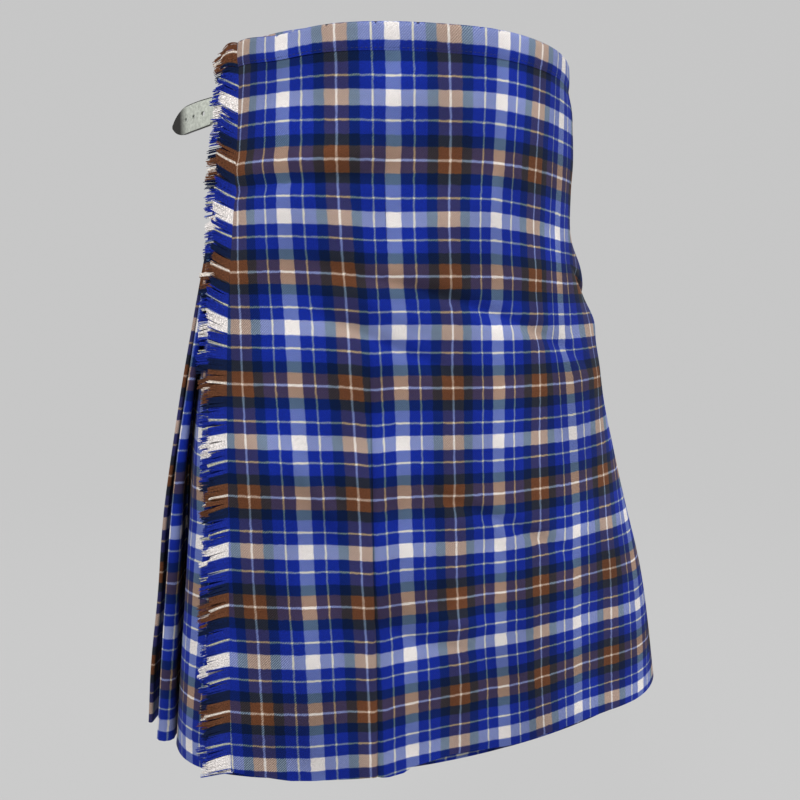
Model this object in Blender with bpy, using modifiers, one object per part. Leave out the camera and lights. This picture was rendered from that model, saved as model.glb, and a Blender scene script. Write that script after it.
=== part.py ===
# A kilt as it hangs when it is worn: over-apron, under-apron, knife-pleated back, waistband,
# fringe and two buckled straps. Metres, +Z up, the wearer faces -Y and has the left hand at +X.
# The origin is at the middle of the waist, level with the straps.
import math

import bmesh
import bpy
import numpy as np
from mathutils import Matrix, Vector

NAME = "kilt"
MM = 0.001

# Driving sizes.
TOP = 50 * MM                # top edge above the straps' middle
LENGTH = 616 * MM            # cloth from the top edge to the hem
CLOTH = 1.5 * MM             # heavy wool cloth
GAP = 0.3 * MM               # between pieces that touch
DRAPE = 1.5                  # lost height of a panel that slants, against that of a straight slant
TOP_SHARE = 0.45             # how much of the lost height shows at the top edge

# Sections round the body, one row for each distance down the cloth, in mm. The section is made
# of four quarters round its middle, and a power of 2 makes a quarter an ellipse.
SECTION_COLUMNS = ("down", "mid_x", "mid_y", "right", "left", "front", "back",
                   "right_power", "left_power", "back_power")
SECTION_ROWS = (
    (0, 0, 0, 165, 137, 123, 113, 2.12, 1.97, 2.2),
    (106, -10, -8, 168, 155, 109, 124, 2.19, 1.86, 2.3),
    (229, -16, -9, 181, 183, 104, 145, 2.16, 1.84, 2.5),
    (370, -18, -8, 198, 220, 103, 167, 2.15, 1.89, 2.8),
    (493, -18, -2, 206, 256, 104, 189, 2.24, 1.88, 3.1),
    (616, -16, 16, 213, 287, 110, 205, 2.33, 1.83, 3.3),
)

# Where the panels end, in degrees round the body from the front, and how the layers lie, in mm.
LAYER_COLUMNS = ("down", "apron_edge", "apron_fold", "flap", "under_in", "pleat_under",
                 "first_under", "pleat_room", "flare", "fringe_lift", "fringe_long")
LAYER_ROWS = (
    (0, -80.6, 97, 9, 8.5, 8, 14, 1.4, 0, 50, 1.30),
    (106, -73.2, 98, 12, 8.5, 9, 18, 1.8, 0, 46, 1.42),
    (229, -67.2, 100, 18, 7.5, 13, 28, 3.0, 5, 34, 1.28),
    (370, -59.8, 102, 24, 7.0, 19, 40, 5.0, 11, 20, 1.02),
    (493, -57.4, 103, 28, 7.0, 24, 52, 7.5, 16, 18, 1.00),
    (616, -56.7, 104, 30, 7.0, 27, 62, 10.0, 20, 18, 0.88),
)

# The largest folds of the over-apron, in mm: where the fold's middle is along the cloth from the
# front and down from the top edge, its half width and half height, its lean and its rise.
FOLD_COLUMNS = ("along", "down", "half_width", "half_height", "lean", "rise")
FOLD_ROWS = (
    (205, 184, 34, 11, 0.45, 4.5),       # cloth that hangs over at the left hip
    (212, 207, 36, 10, 0.45, -4.5),      # the hollow under it
    (208, 264, 30, 38, 0.0, 3.5),        # and the fullness below
    (-62, 560, 26, 130, 0.0, 2.5),
    (18, 585, 30, 120, 0.0, -3.0),
    (92, 575, 34, 130, 0.0, 3.0),
    (170, 590, 32, 110, 0.0, -2.5),
    (252, 580, 36, 140, 0.0, 3.0),
)

# The grids of the panels.
APRON_ROWS = 14
APRON_COLUMNS = 30
HIP_ROWS = (176, 203, 215)   # mm, further rows at the folds by the left hip
PANEL_ROWS = 9               # of the under-apron and of the back
UNDER_APRON_COLUMNS = 22

# Pleats.
PLEATS = 15
FIRST_FOLD_TURN = -91        # degrees, the first pleat's edge at the right side
FOLD_ROOM = 2.4 * MM         # between the middles of a fold's two layers
SEAM_TAIL = 3 * MM           # of the first pleat beside the under-apron
PLEAT_SWAY = 2.2 * MM        # how unevenly the edges stand out at the hem
PLEAT_SWAY_TURN = 2.3        # radians from one edge's sway to the next
PLEAT_BELLY = 0.62           # how far out a pleat's middle lies between its edge and its root
FLAP_REST = 0.6 * MM         # how far the over-apron's turned edge sinks under its fold

# Under-apron.
UNDER_APRON_TURN = 70        # degrees, its free edge inside the left side

# Waistband: a strip folded over the top edge, which follows the cloth one and a half times round.
BAND_HEIGHT = 23 * MM
BAND_CLOTH = 1.2 * MM
BAND_STEP = 6.0              # degrees between its stations
BAND_LAP = 350               # past this turn the band runs under its own start
BAND_COLUMNS = ("turn", "outer", "inner")
BAND_ROWS = (
    (-82, 2.1, -4.9),
    (-74, 2.1, -4.9),
    (-66, 2.1, -2.1),
    (82, 2.1, -2.1),
    (90, 2.1, -10.9),
    (100, 2.7, -11.3),
    (262, 2.7, -11.3),
    (270.5, 2.4, -10.9),
    (277, -6.4, -10.7),
    (430, -6.4, -10.7),
)

# Fringe: two strips under the over-apron's free edge.
FRINGE_TUFTS = 90            # on each strip
FRINGE_CLOTH = 1.0 * MM
FRINGE_STRIP = 4 * MM        # how far a strip reaches under the apron
FRINGE_FILL = 0.72           # of the pitch is tuft and the rest is gap
TUFT_SWAY = 2 * MM           # how far a tuft's end moves up or down, each in its own way
TUFT_RISE = 4 * MM           # how far the ends rise at the top, and fall at the hem
TUFT_STRETCH = 0.07          # how unevenly long the tufts are
# Each strip's place under the cloth, where its tufts turn outward past the edge and their length,
# in mm, and how far they turn beyond the lift of their row above, in degrees.
FRINGE_COLUMNS = ("inside", "past", "length", "more_lift")
FRINGES = {
    "fringe_outer": (1.95, 1.2, 13.5, 5),
    "fringe_inner": (3.4, 3.2, 18.5, 0),
}

# Straps and buckles.
STRAP_WIDTH = 25 * MM
STRAP_THICK = 2.2 * MM
STRAP_TIP = 19 * MM          # the length of its tapered tip
STRAP_STEPS = 40
STRAP_BLUNT = 0.12           # the share of its width that the tip ends in
STRAP_HOLES = 5
FIRST_HOLE = 22 * MM         # from the tip
HOLE_PITCH = 13 * MM
HOLE_RADIUS = 2.1 * MM
BAR_RADIUS = 1.5 * MM
BUCKLE_LONG = 25 * MM        # from bar to bar
BUCKLE_WIDE = 31 * MM        # across the strap
BUCKLE_OUT = 5.9 * MM        # the bars' middle above the cloth's middle
BUCKLE_CORNER = 4 * MM
PRONG_RADIUS = 1.0 * MM
PRONG_PLAY = 0.5 * MM
PRONG_PAST = 2.5 * MM        # the prong's tip beyond the far bar
PRONG_STEPS = 14             # round the ring at its heel
TAB_THICK = 1.6 * MM
TAB_LENGTH = 34 * MM
TAB_WIDTH = 23 * MM
RIGHT_BUCKLE_TURN = -93      # degrees, the buckle's far bar
LEFT_BUCKLE_TURN = 106
SLIT_TURN = 88               # where the left strap comes out through the over-apron
SLIT_WIDE = 10 * MM
SLIT_HIGH = 28 * MM
# How the straps run, in mm: steps round the hip and outward, before and after the buckles. The
# right strap's free end stands away from the hip and sinks a little.
RIGHT_STRAP_UNDER = ((30, -5.6), (14, -5.6), (0, -5.7), (-8, -5.6), (-19, -3.0))
RIGHT_STRAP_END = ((-186, 50, -1.5), (-195, 70, -6), (-204, 88, -12))
LEFT_STRAP_THROUGH = ((-70, -5.6), (-40, -5.6), (-12, -5.6), (-5, -3.4), (4, 2.4), (14, 3.0))
LEFT_STRAP_END = ((22, 10.5, 0), (45, 14, 1))

# The surface of each kind of piece: colour, roughness and metallic value.
SURFACES = {
    "over_apron": ((0.02, 0.04, 0.32), 0.9, 0.0),
    "under_apron": ((0.02, 0.04, 0.26), 0.9, 0.0),
    "pleated_back": ((0.02, 0.04, 0.28), 0.9, 0.0),
    "waistband": ((0.16, 0.18, 0.42), 0.9, 0.0),
    "fringe": ((0.03, 0.05, 0.36), 0.95, 0.0),
    "strap": ((0.012, 0.012, 0.012), 0.35, 0.0),
    "buckle_tab": ((0.012, 0.012, 0.012), 0.45, 0.0),
    "buckle": ((0.75, 0.75, 0.76), 0.25, 1.0),
}

RING_STEPS = 720             # points that a section is measured with, for each turn


def table(columns, rows):
    return {name: np.array(values, float) for name, values in zip(columns, zip(*rows))}


SECTIONS = table(SECTION_COLUMNS, SECTION_ROWS)
LAYERS = table(LAYER_COLUMNS, LAYER_ROWS)
BAND = table(BAND_COLUMNS, BAND_ROWS)
FOLDS = [dict(zip(FOLD_COLUMNS, row)) for row in FOLD_ROWS]


def smooth(rows, name, down):
    # A curve through a column's values, by way of the slopes at the rows.
    places = rows["down"] * MM
    values = rows[name]
    slopes = np.gradient(values, places)
    row = min(max(int(np.searchsorted(places, down)) - 1, 0), len(places) - 2)
    step = places[row + 1] - places[row]
    t = (down - places[row]) / step
    start = (1 + 2 * t) * (1 - t) ** 2 * values[row] + t * (1 - t) ** 2 * step * slopes[row]
    end = t * t * (3 - 2 * t) * values[row + 1] + t * t * (t - 1) * step * slopes[row + 1]
    return start + end


def section_points(down, turns):
    size = {name: smooth(SECTIONS, name, down) for name in SECTION_COLUMNS[1:]}
    across, ahead = np.sin(turns), np.cos(turns)
    half = np.where(across > 0, size["left"], size["right"]) * MM
    power = np.where(across > 0, size["left_power"], size["right_power"])
    power = np.where(ahead > 0, power, size["back_power"])
    deep = np.where(ahead > 0, size["front"], size["back"]) * MM
    x = size["mid_x"] * MM + half * np.sign(across) * np.abs(across) ** (2 / power)
    y = size["mid_y"] * MM - deep * np.sign(ahead) * np.abs(ahead) ** (2 / power)
    return np.stack([x, y], axis=1)


class Ring:
    # The section at one distance down the cloth, measured along its line from the front.
    # Places behind the right side are negative all the way round to the left side.

    def __init__(self, down):
        self.down = down
        turns = np.linspace(-2 * math.pi, 2 * math.pi, 2 * RING_STEPS + 1)
        points = section_points(down, turns)
        lengths = np.linalg.norm(np.diff(points, axis=0), axis=1)
        lengths = np.concatenate([[0.0], np.cumsum(lengths)])
        lengths -= np.interp(0.0, turns, lengths)
        self.along = np.linspace(lengths[0], lengths[-1], RING_STEPS)
        self.turns = np.interp(self.along, lengths, turns)
        self.points = np.stack([np.interp(self.along, lengths, points[:, k]) for k in (0, 1)], axis=1)
        slope = np.gradient(self.points, self.along, axis=0)
        slope /= np.linalg.norm(slope, axis=1)[:, None]
        self.outward = np.stack([slope[:, 1], -slope[:, 0]], axis=1)

    def at(self, degrees):
        return float(np.interp(math.radians(degrees), self.turns, self.along))

    def value(self, values, along):
        return float(np.interp(along, self.along, values))

    def point(self, along, out):
        x = self.value(self.points[:, 0], along) + out * self.value(self.outward[:, 0], along)
        y = self.value(self.points[:, 1], along) + out * self.value(self.outward[:, 1], along)
        turn = self.value(self.turns, along)
        return Vector((x, y, cloth_height(turn, self.down)))


def spread(half, middle, sign):
    # How much further out the hem is than the waist, on one side.
    change = SECTIONS[half][-1] - SECTIONS[half][0]
    return (change + sign * (SECTIONS[middle][-1] - SECTIONS[middle][0])) * MM


def full_slant(turn):
    across, ahead = math.sin(turn), math.cos(turn)
    aside = spread("left", "mid_x", 1) if across > 0 else spread("right", "mid_x", -1)
    along = spread("front", "mid_y", -1) if ahead > 0 else spread("back", "mid_y", 1)
    return math.hypot(across * aside, ahead * along) / LENGTH


def cloth_height(turn, down):
    # A panel that slants outward hangs less tall than its cloth is long.
    lost = DRAPE * LENGTH * (1 - math.sqrt(1 - full_slant(turn) ** 2))
    return TOP - TOP_SHARE * lost - down * (1 - lost / LENGTH)


def fold_rise(along, down):
    rise = 0.0
    for fold in FOLDS:
        aside = along / MM - fold["along"]
        below = (down / MM - fold["down"] - fold["lean"] * aside) / fold["half_height"]
        rise += fold["rise"] * MM * math.exp(-(aside / fold["half_width"]) ** 2 - below ** 2)
    return rise


def layer(name, down):
    return smooth(LAYERS, name, down)


def material_for(node):
    kind = next(kind for kind in SURFACES if node.startswith(kind))
    colour, roughness, metallic = SURFACES[kind]
    surface = bpy.data.materials.new(node)
    surface.use_nodes = True
    shader = surface.node_tree.nodes["Principled BSDF"]
    shader.inputs["Base Color"].default_value = (*colour, 1.0)
    shader.inputs["Roughness"].default_value = roughness
    shader.inputs["Metallic"].default_value = metallic
    return surface


def add_object(name, mesh, group):
    # A piece of the kilt gets its own material, and a cutter is kept out of sight.
    made = bpy.data.objects.new(name, mesh)
    group.objects.link(made)
    if group.name == NAME:
        mesh.materials.append(material_for(name))
    else:
        made.hide_render = True
        made.display_type = "WIRE"
    return made


def add_sheet(name, rows, thick, group, missing=None):
    # rows holds equal lists of points. missing tells which cells of the grid stay open.
    mesh = bpy.data.meshes.new(name)
    work = bmesh.new()
    grid = [[work.verts.new(point) for point in row] for row in rows]
    for r in range(len(grid) - 1):
        for c in range(len(grid[0]) - 1):
            if missing is None or not missing(r, c):
                work.faces.new((grid[r][c], grid[r + 1][c], grid[r + 1][c + 1], grid[r][c + 1]))
    loose = [vert for vert in work.verts if not vert.link_faces]
    bmesh.ops.delete(work, geom=loose, context="VERTS")
    work.to_mesh(mesh)
    work.free()
    mesh.shade_smooth()
    sheet = add_object(name, mesh, group)
    solid = sheet.modifiers.new("thickness", "SOLIDIFY")
    solid.thickness = thick
    solid.offset = 0.0
    solid.use_even_offset = True
    return sheet


def mesh_of_curve(name, source, group):
    # The finished shape of a curve with a bevel, as a plain closed mesh.
    graph = bpy.context.evaluated_depsgraph_get()
    mesh = bpy.data.meshes.new_from_object(source.evaluated_get(graph))
    mesh.materials.clear()
    work = bmesh.new()
    work.from_mesh(mesh)
    bmesh.ops.remove_doubles(work, verts=work.verts, dist=0.00001)
    work.to_mesh(mesh)
    work.free()
    made = add_object(name, mesh, group)
    made.matrix_world = source.matrix_world.copy()
    bpy.data.objects.remove(source)
    return made


def boolean(target, tool, operation):
    step = target.modifiers.new(operation.lower(), "BOOLEAN")
    step.operation = operation
    step.object = tool
    step.solver = "EXACT"


def apron_places():
    # Rows of the over-apron, closer at the folds by the left hip.
    return sorted([*np.linspace(0.0, LENGTH, APRON_ROWS), *(down * MM for down in HIP_ROWS)])


def make_over_apron(group):
    rows = []
    for down in apron_places():
        ring = Ring(down)
        edge = ring.at(layer("apron_edge", down))
        fold = ring.at(layer("apron_fold", down))
        flap = fold - layer("flap", down) * MM
        row = [ring.point(along, fold_rise(along, down))
               for along in np.linspace(edge, fold, APRON_COLUMNS)]
        row.append(ring.point(fold, -FOLD_ROOM))
        row.append(ring.point(flap, -FOLD_ROOM - FLAP_REST))
        rows.append(row)
    return add_sheet("over_apron", rows, CLOTH, group)


def first_valley(ring):
    return ring.at(FIRST_FOLD_TURN) - layer("first_under", ring.down) * MM


def make_under_apron(group):
    rows = []
    for down in np.linspace(0.0, LENGTH, PANEL_ROWS):
        ring = Ring(down)
        start = first_valley(ring) + SEAM_TAIL + GAP
        end = ring.at(UNDER_APRON_TURN)
        inside = -layer("under_in", down) * MM
        rows.append([ring.point(along, inside)
                     for along in np.linspace(start, end, UNDER_APRON_COLUMNS)])
    return add_sheet("under_apron", rows, CLOTH, group)


def pleat_edges(ring):
    # The pleats' front edges, from the right side round the back to the over-apron's fold.
    start = ring.at(FIRST_FOLD_TURN)
    end = ring.at(layer("apron_fold", ring.down) - 360)
    return np.linspace(start, end, PLEATS + 1)


def pleat_flare(ring, share):
    return layer("flare", ring.down) * MM * (1 - share) ** 0.7


def make_pleated_back(group):
    rows = []
    for down in np.linspace(0.0, LENGTH, PANEL_ROWS):
        ring = Ring(down)
        edges = pleat_edges(ring)
        pitch = edges[0] - edges[1]
        under = layer("pleat_under", down) * MM
        room = layer("pleat_room", down) * MM
        tail = -2 * FOLD_ROOM - room
        inside = -layer("under_in", down) * MM
        valley = first_valley(ring)
        row = [ring.point(valley + SEAM_TAIL, inside), ring.point(valley, inside)]
        row.append(ring.point(valley, inside + FOLD_ROOM))
        for number in range(PLEATS):
            share = number / PLEATS
            sway = PLEAT_SWAY * math.sin(PLEAT_SWAY_TURN * number) * (down / LENGTH) ** 2
            out = pleat_flare(ring, share) + sway
            after = pleat_flare(ring, share + 1 / PLEATS)
            last = number == PLEATS - 1
            reach = edges[number + 1] - (0 if last else under)
            row.append(ring.point(edges[number], out - FOLD_ROOM))
            row.append(ring.point(edges[number], out))
            belly = PLEAT_BELLY * out + (1 - PLEAT_BELLY) * (after + tail)
            row.append(ring.point(edges[number] - 0.5 * pitch, belly))
            row.append(ring.point(reach, after + tail))
            if not last:
                row.append(ring.point(reach, after + tail + FOLD_ROOM))
        rows.append(row)
    return add_sheet("pleated_back", rows, CLOTH, group)


def band_place(ring, turn):
    # The band starts at the over-apron's edge and passes under it after one whole turn.
    if turn < 0:
        return ring.at(max(turn, layer("apron_edge", ring.down)))
    return ring.at(turn if turn < BAND_LAP else turn - 360)


def make_waistband(group):
    top, bottom = Ring(0.0), Ring(BAND_HEIGHT)
    over = Vector((0, 0, 0.5 * BAND_CLOTH + GAP))
    rows = []
    even = np.arange(BAND["turn"][0], BAND["turn"][-1], BAND_STEP)
    for turn in np.union1d(even, BAND["turn"]):
        outer, inner = (float(np.interp(turn, BAND["turn"], BAND[side])) * MM
                        for side in ("outer", "inner"))
        high, low = band_place(top, turn), band_place(bottom, turn)
        rows.append([bottom.point(low, outer), top.point(high, outer) + over,
                     top.point(high, inner) + over, bottom.point(low, inner)])
    return add_sheet("waistband", rows, BAND_CLOTH, group)


def fringe_section(down, inside, past, length, more_lift):
    # The strip's inner edge, the line where the tufts start and the line of their ends.
    ring = Ring(down)
    edge = ring.at(layer("apron_edge", down))
    lift = math.radians(layer("fringe_lift", down) + more_lift)
    root = edge - past * MM
    length *= layer("fringe_long", down)
    return [ring.point(edge + FRINGE_STRIP, -inside * MM), ring.point(root, -inside * MM),
            ring.point(root - length * math.cos(lift) * MM, (length * math.sin(lift) - inside) * MM)]


def make_fringe(name, group):
    # Each tuft takes one cell of the sheet, and the cells between the tufts stay open.
    # The sections are the over-apron's own, so that the strip runs even with its edge.
    places = apron_places()
    sizes = dict(zip(FRINGE_COLUMNS, FRINGES[name]))
    sections = [fringe_section(down, **sizes) for down in places]
    pitch = LENGTH / FRINGE_TUFTS
    rows = []
    for number in range(FRINGE_TUFTS):
        sway = TUFT_SWAY * math.sin(1.7 * number)
        stretch = 1 + TUFT_STRETCH * math.sin(2.9 * number)
        for share in (0.0, FRINGE_FILL):
            down = (number + share + 0.5 * (1 - FRINGE_FILL)) * pitch
            above = int(np.searchsorted(places, down)) - 1
            part = (down - places[above]) / (places[above + 1] - places[above])
            inner, root, tip = (high.lerp(low, part)
                                for high, low in zip(sections[above], sections[above + 1]))
            tip = root.lerp(tip, stretch)
            tip.z += sway + TUFT_RISE * math.cos(math.pi * down / LENGTH)
            rows.append([inner, root, tip])
    return add_sheet(name, rows, FRINGE_CLOTH, group,
                     missing=lambda r, c: c == 1 and r % 2 == 1)


def smooth_line(stations, count):
    # A Catmull-Rom curve through rows of numbers, read at even steps of their first three.
    padded = np.vstack([2 * stations[0] - stations[1], stations, 2 * stations[-1] - stations[-2]])
    dense = []
    for number in range(1, len(padded) - 2):
        before, start, end, after = padded[number - 1:number + 3]
        for t in np.linspace(0, 1, 20, endpoint=False):
            dense.append(0.5 * (2 * start + (end - before) * t
                                + (2 * before - 5 * start + 4 * end - after) * t * t
                                + (3 * start - before - 3 * end + after) * t ** 3))
    dense = np.array(dense + [stations[-1]])
    lengths = np.linalg.norm(np.diff(dense[:, :3], axis=0), axis=1)
    lengths = np.concatenate([[0.0], np.cumsum(lengths)])
    evenly = np.linspace(0, lengths[-1], count)
    columns = [np.interp(evenly, lengths, dense[:, k]) for k in range(dense.shape[1])]
    return np.stack(columns, axis=1), lengths[-1]


def strap_half_width(distance_to_tip):
    share = min(distance_to_tip / STRAP_TIP, 1.0)
    return 0.5 * STRAP_WIDTH * max(math.sqrt(1 - (1 - share) ** 2), STRAP_BLUNT)


def make_strap(name, path, group, cutters):
    # The path is a list of points with the strap's upward direction at each.
    line, length = smooth_line(np.array([(*point, *up) for point, up in path]), STRAP_STEPS + 1)
    rows = []
    for number, station in enumerate(line):
        half = strap_half_width(length * (1 - number / STRAP_STEPS))
        middle, up = Vector(station[:3]), Vector(station[3:])
        rows.append([middle + up * half * share for share in (-1, 0, 1)])
    strap = add_sheet(name, rows, STRAP_THICK, group)
    for number in range(STRAP_HOLES):
        place = STRAP_STEPS * (1 - (FIRST_HOLE + number * HOLE_PITCH) / length)
        low = int(place)
        start, end = Vector(line[low][:3]), Vector(line[low + 1][:3])
        across = (end - start).cross(Vector(line[low][3:])).normalized()
        cutter = add_cylinder(f"{name}_hole_{number + 1}", start.lerp(end, place - low), across,
                              HOLE_RADIUS, 5 * STRAP_THICK, cutters)
        boolean(strap, cutter, "DIFFERENCE")
    return strap


def add_cylinder(name, middle, direction, radius, depth, group):
    mesh = bpy.data.meshes.new(name)
    work = bmesh.new()
    bmesh.ops.create_cone(work, cap_ends=True, segments=12,
                          radius1=radius, radius2=radius, depth=depth)
    work.to_mesh(mesh)
    work.free()
    made = add_object(name, mesh, group)
    made.location = middle
    made.rotation_mode = "QUATERNION"
    made.rotation_quaternion = direction.to_track_quat("Z", "Y")
    return made


def add_box(name, matrix, size, group):
    mesh = bpy.data.meshes.new(name)
    work = bmesh.new()
    bmesh.ops.create_cube(work, size=1.0, matrix=Matrix.Diagonal((*size, 1.0)))
    work.to_mesh(mesh)
    work.free()
    made = add_object(name, mesh, group)
    made.matrix_world = matrix
    return made


def add_wire(name, points, radius, cyclic, group):
    curve = bpy.data.curves.new(name, "CURVE")
    curve.dimensions = "3D"
    curve.bevel_depth = radius
    curve.bevel_resolution = 2
    curve.use_fill_caps = True
    line = curve.splines.new("POLY")
    line.points.add(len(points) - 1)
    for slot, point in zip(line.points, points):
        slot.co = (*point, 1.0)
    line.use_cyclic_u = cyclic
    raw = bpy.data.objects.new(name + "_line", curve)
    group.objects.link(raw)
    return mesh_of_curve(name, raw, group)


def strap_station(along_turn, step, out):
    # A point of a strap on the hip, with its upward direction, which leans as the cloth does.
    high, low = Ring(TOP - 0.5 * STRAP_WIDTH), Ring(TOP + 0.5 * STRAP_WIDTH)
    upper = high.point(high.at(along_turn) + step, out)
    lower = low.point(low.at(along_turn) + step, out)
    middle = 0.5 * (upper + lower)
    middle.z = 0.0
    return middle, (upper - lower).normalized()


class BuckleSeat:
    # A flat frame of reference at a buckle: back along the hip, outward, and up.

    def __init__(self, turn):
        side = math.copysign(1, turn)
        self.here, self.up = strap_station(turn, 0, 0)
        behind = strap_station(turn, side * BUCKLE_LONG, 0)[0]
        self.back = (behind - self.here).normalized()
        self.up = (self.up - self.up.project(self.back)).normalized()
        self.out = self.back.cross(self.up) * side

    def place(self, back, out, up):
        return self.here + self.back * back + self.out * out + self.up * up

    def matrix(self, back, out, up):
        turned = Matrix((self.back, self.out, self.up)).transposed().to_4x4()
        return Matrix.Translation(self.place(back, out, up)) @ turned


def rounded_loop(seat, out):
    # The frame's middle line: four corners of four points each.
    near, far = BUCKLE_CORNER, BUCKLE_LONG - BUCKLE_CORNER
    high = 0.5 * BUCKLE_WIDE - BUCKLE_CORNER
    points = []
    for number, (back, up) in enumerate(((far, high), (near, high), (near, -high), (far, -high))):
        for step in range(4):
            angle = math.radians(90 * number + 30 * step)
            points.append(seat.place(back + BUCKLE_CORNER * math.cos(angle), out,
                                     up + BUCKLE_CORNER * math.sin(angle)))
    return points


def make_prong(side, seat, strap, group, cutters):
    # A ring round the heel bar and a rod that passes through the strap and rests on the far bar.
    ring_radius = BAR_RADIUS + GAP + PRONG_RADIUS
    loop = [seat.place(BUCKLE_LONG + ring_radius * math.cos(angle),
                       BUCKLE_OUT + ring_radius * math.sin(angle), 0)
            for angle in np.linspace(0, 2 * math.pi, PRONG_STEPS, endpoint=False)]
    prong = add_wire(f"buckle_prong_{side}", loop, PRONG_RADIUS, True, group)
    rise = ((BUCKLE_LONG - ring_radius, 0.4 * MM), (0.62 * BUCKLE_LONG, 1.2 * MM),
            (0.3 * BUCKLE_LONG, 2.3 * MM), (-PRONG_PAST, ring_radius + 0.1 * MM))
    rod_points = [seat.place(back, BUCKLE_OUT + up, 0) for back, up in rise]
    rod = add_wire(f"buckle_prong_{side}_rod", rod_points, PRONG_RADIUS, False, cutters)
    boolean(prong, rod, "UNION")
    hole = add_wire(f"strap_{side}_prong_hole", rod_points, PRONG_RADIUS + PRONG_PLAY, False, cutters)
    boolean(strap, hole, "DIFFERENCE")


def make_tab(side, seat, group, cutters):
    # Sewn to the cloth, folded round the heel bar and notched for the prong.
    bend = BAR_RADIUS + GAP + 0.5 * TAB_THICK
    inner, outer = BUCKLE_OUT - bend, BUCKLE_OUT + bend
    upper = inner + TAB_THICK + GAP
    profile = [(TAB_LENGTH, inner), (0.5 * TAB_LENGTH, inner)]
    for angle in range(270, 89, -30):
        turned = math.radians(angle)
        profile.append((bend * math.cos(turned), BUCKLE_OUT + bend * math.sin(turned)))
    profile += [(0.3 * TAB_LENGTH, outer), (0.62 * TAB_LENGTH, upper), (TAB_LENGTH, upper)]
    rows = [[seat.place(BUCKLE_LONG + back, out, 0.5 * TAB_WIDTH * share) for share in (-1, 0, 1)]
            for back, out in profile]
    tab = add_sheet(f"buckle_tab_{side}", rows, TAB_THICK, group)
    notch = add_box(f"buckle_tab_{side}_notch", seat.matrix(BUCKLE_LONG, BUCKLE_OUT, 0),
                    (4.5 * bend, 4 * bend, 6 * PRONG_RADIUS), cutters)
    boolean(tab, notch, "DIFFERENCE")


def make_buckle(side, seat, strap, group, cutters):
    add_wire(f"buckle_frame_{side}", rounded_loop(seat, BUCKLE_OUT), BAR_RADIUS, True, group)
    make_prong(side, seat, strap, group, cutters)
    make_tab(side, seat, group, cutters)


def strap_over_buckle(seat):
    # Under the far bar, up through the frame and over the heel bar and the tab.
    under = BUCKLE_OUT - BAR_RADIUS - 2 * GAP - 0.5 * STRAP_THICK
    over = BUCKLE_OUT + BAR_RADIUS + TAB_THICK + 4 * GAP + 0.5 * STRAP_THICK
    places = ((-6 * MM, under), (1 * MM, under), (0.5 * BUCKLE_LONG, 0.5 * (under + over)),
              (BUCKLE_LONG - 1 * MM, over), (BUCKLE_LONG + 7 * MM, over + GAP))
    return [(seat.place(back, out, 0), seat.up) for back, out in places]


def make_right_strap(group, cutters):
    seat = BuckleSeat(RIGHT_BUCKLE_TURN)
    edge = layer("apron_edge", TOP)
    path = [strap_station(edge, step * MM, out * MM) for step, out in RIGHT_STRAP_UNDER]
    path += strap_over_buckle(seat)
    path += [(Vector(point) * MM, Vector((0, 0, 1))) for point in RIGHT_STRAP_END]
    strap = make_strap("strap_right", path, group, cutters)
    make_buckle("right", seat, strap, group, cutters)


def make_left_strap(group, cutters, over_apron):
    seat = BuckleSeat(LEFT_BUCKLE_TURN)
    path = [strap_station(SLIT_TURN, step * MM, out * MM) for step, out in LEFT_STRAP_THROUGH]
    path += strap_over_buckle(seat)
    path += [(seat.place(BUCKLE_LONG + back * MM, out * MM, -drop * MM), seat.up)
             for back, out, drop in LEFT_STRAP_END]
    strap = make_strap("strap_left", path, group, cutters)
    make_buckle("left", seat, strap, group, cutters)
    middle, up = strap_station(SLIT_TURN, 0, 0)
    ahead = (strap_station(SLIT_TURN, 5 * MM, 0)[0] - middle).normalized()
    turned = Matrix((ahead, ahead.cross(up), up)).transposed().to_4x4()
    slit = add_box("strap_slit", Matrix.Translation(middle) @ turned,
                   (SLIT_WIDE, 8 * CLOTH, SLIT_HIGH), cutters)
    boolean(over_apron, slit, "DIFFERENCE")


def main():
    for old in list(bpy.data.objects):
        bpy.data.objects.remove(old)
    group = bpy.data.collections.new(NAME)
    cutters = bpy.data.collections.new(NAME + "_cutters")
    bpy.context.scene.collection.children.link(group)
    bpy.context.scene.collection.children.link(cutters)
    over_apron = make_over_apron(group)
    make_under_apron(group)
    make_pleated_back(group)
    make_waistband(group)
    for name in FRINGES:
        make_fringe(name, group)
    make_right_strap(group, cutters)
    make_left_strap(group, cutters, over_apron)


main()
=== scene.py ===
# A wool tartan kilt in the form that it has when it is worn. Each cloth is woven again as a thin
# shell on its solid's own form, and gets its folds, fringe, stitching, leather and buckles.
import math

import bmesh
import bpy
import numpy as np
from mathutils import Matrix, Vector


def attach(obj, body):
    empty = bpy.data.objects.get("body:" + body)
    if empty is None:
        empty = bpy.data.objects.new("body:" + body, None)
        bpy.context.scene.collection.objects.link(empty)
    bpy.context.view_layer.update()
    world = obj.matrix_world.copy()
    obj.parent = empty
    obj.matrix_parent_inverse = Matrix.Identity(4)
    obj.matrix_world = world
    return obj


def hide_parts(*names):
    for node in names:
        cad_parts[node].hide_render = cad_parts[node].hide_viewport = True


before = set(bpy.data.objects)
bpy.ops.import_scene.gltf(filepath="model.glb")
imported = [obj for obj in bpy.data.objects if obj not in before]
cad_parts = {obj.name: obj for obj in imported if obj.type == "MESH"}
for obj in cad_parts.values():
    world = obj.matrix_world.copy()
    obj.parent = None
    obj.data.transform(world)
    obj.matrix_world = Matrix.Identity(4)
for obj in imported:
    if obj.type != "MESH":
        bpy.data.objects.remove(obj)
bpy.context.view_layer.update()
mm = 0.001
print("frame loaded")

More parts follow.
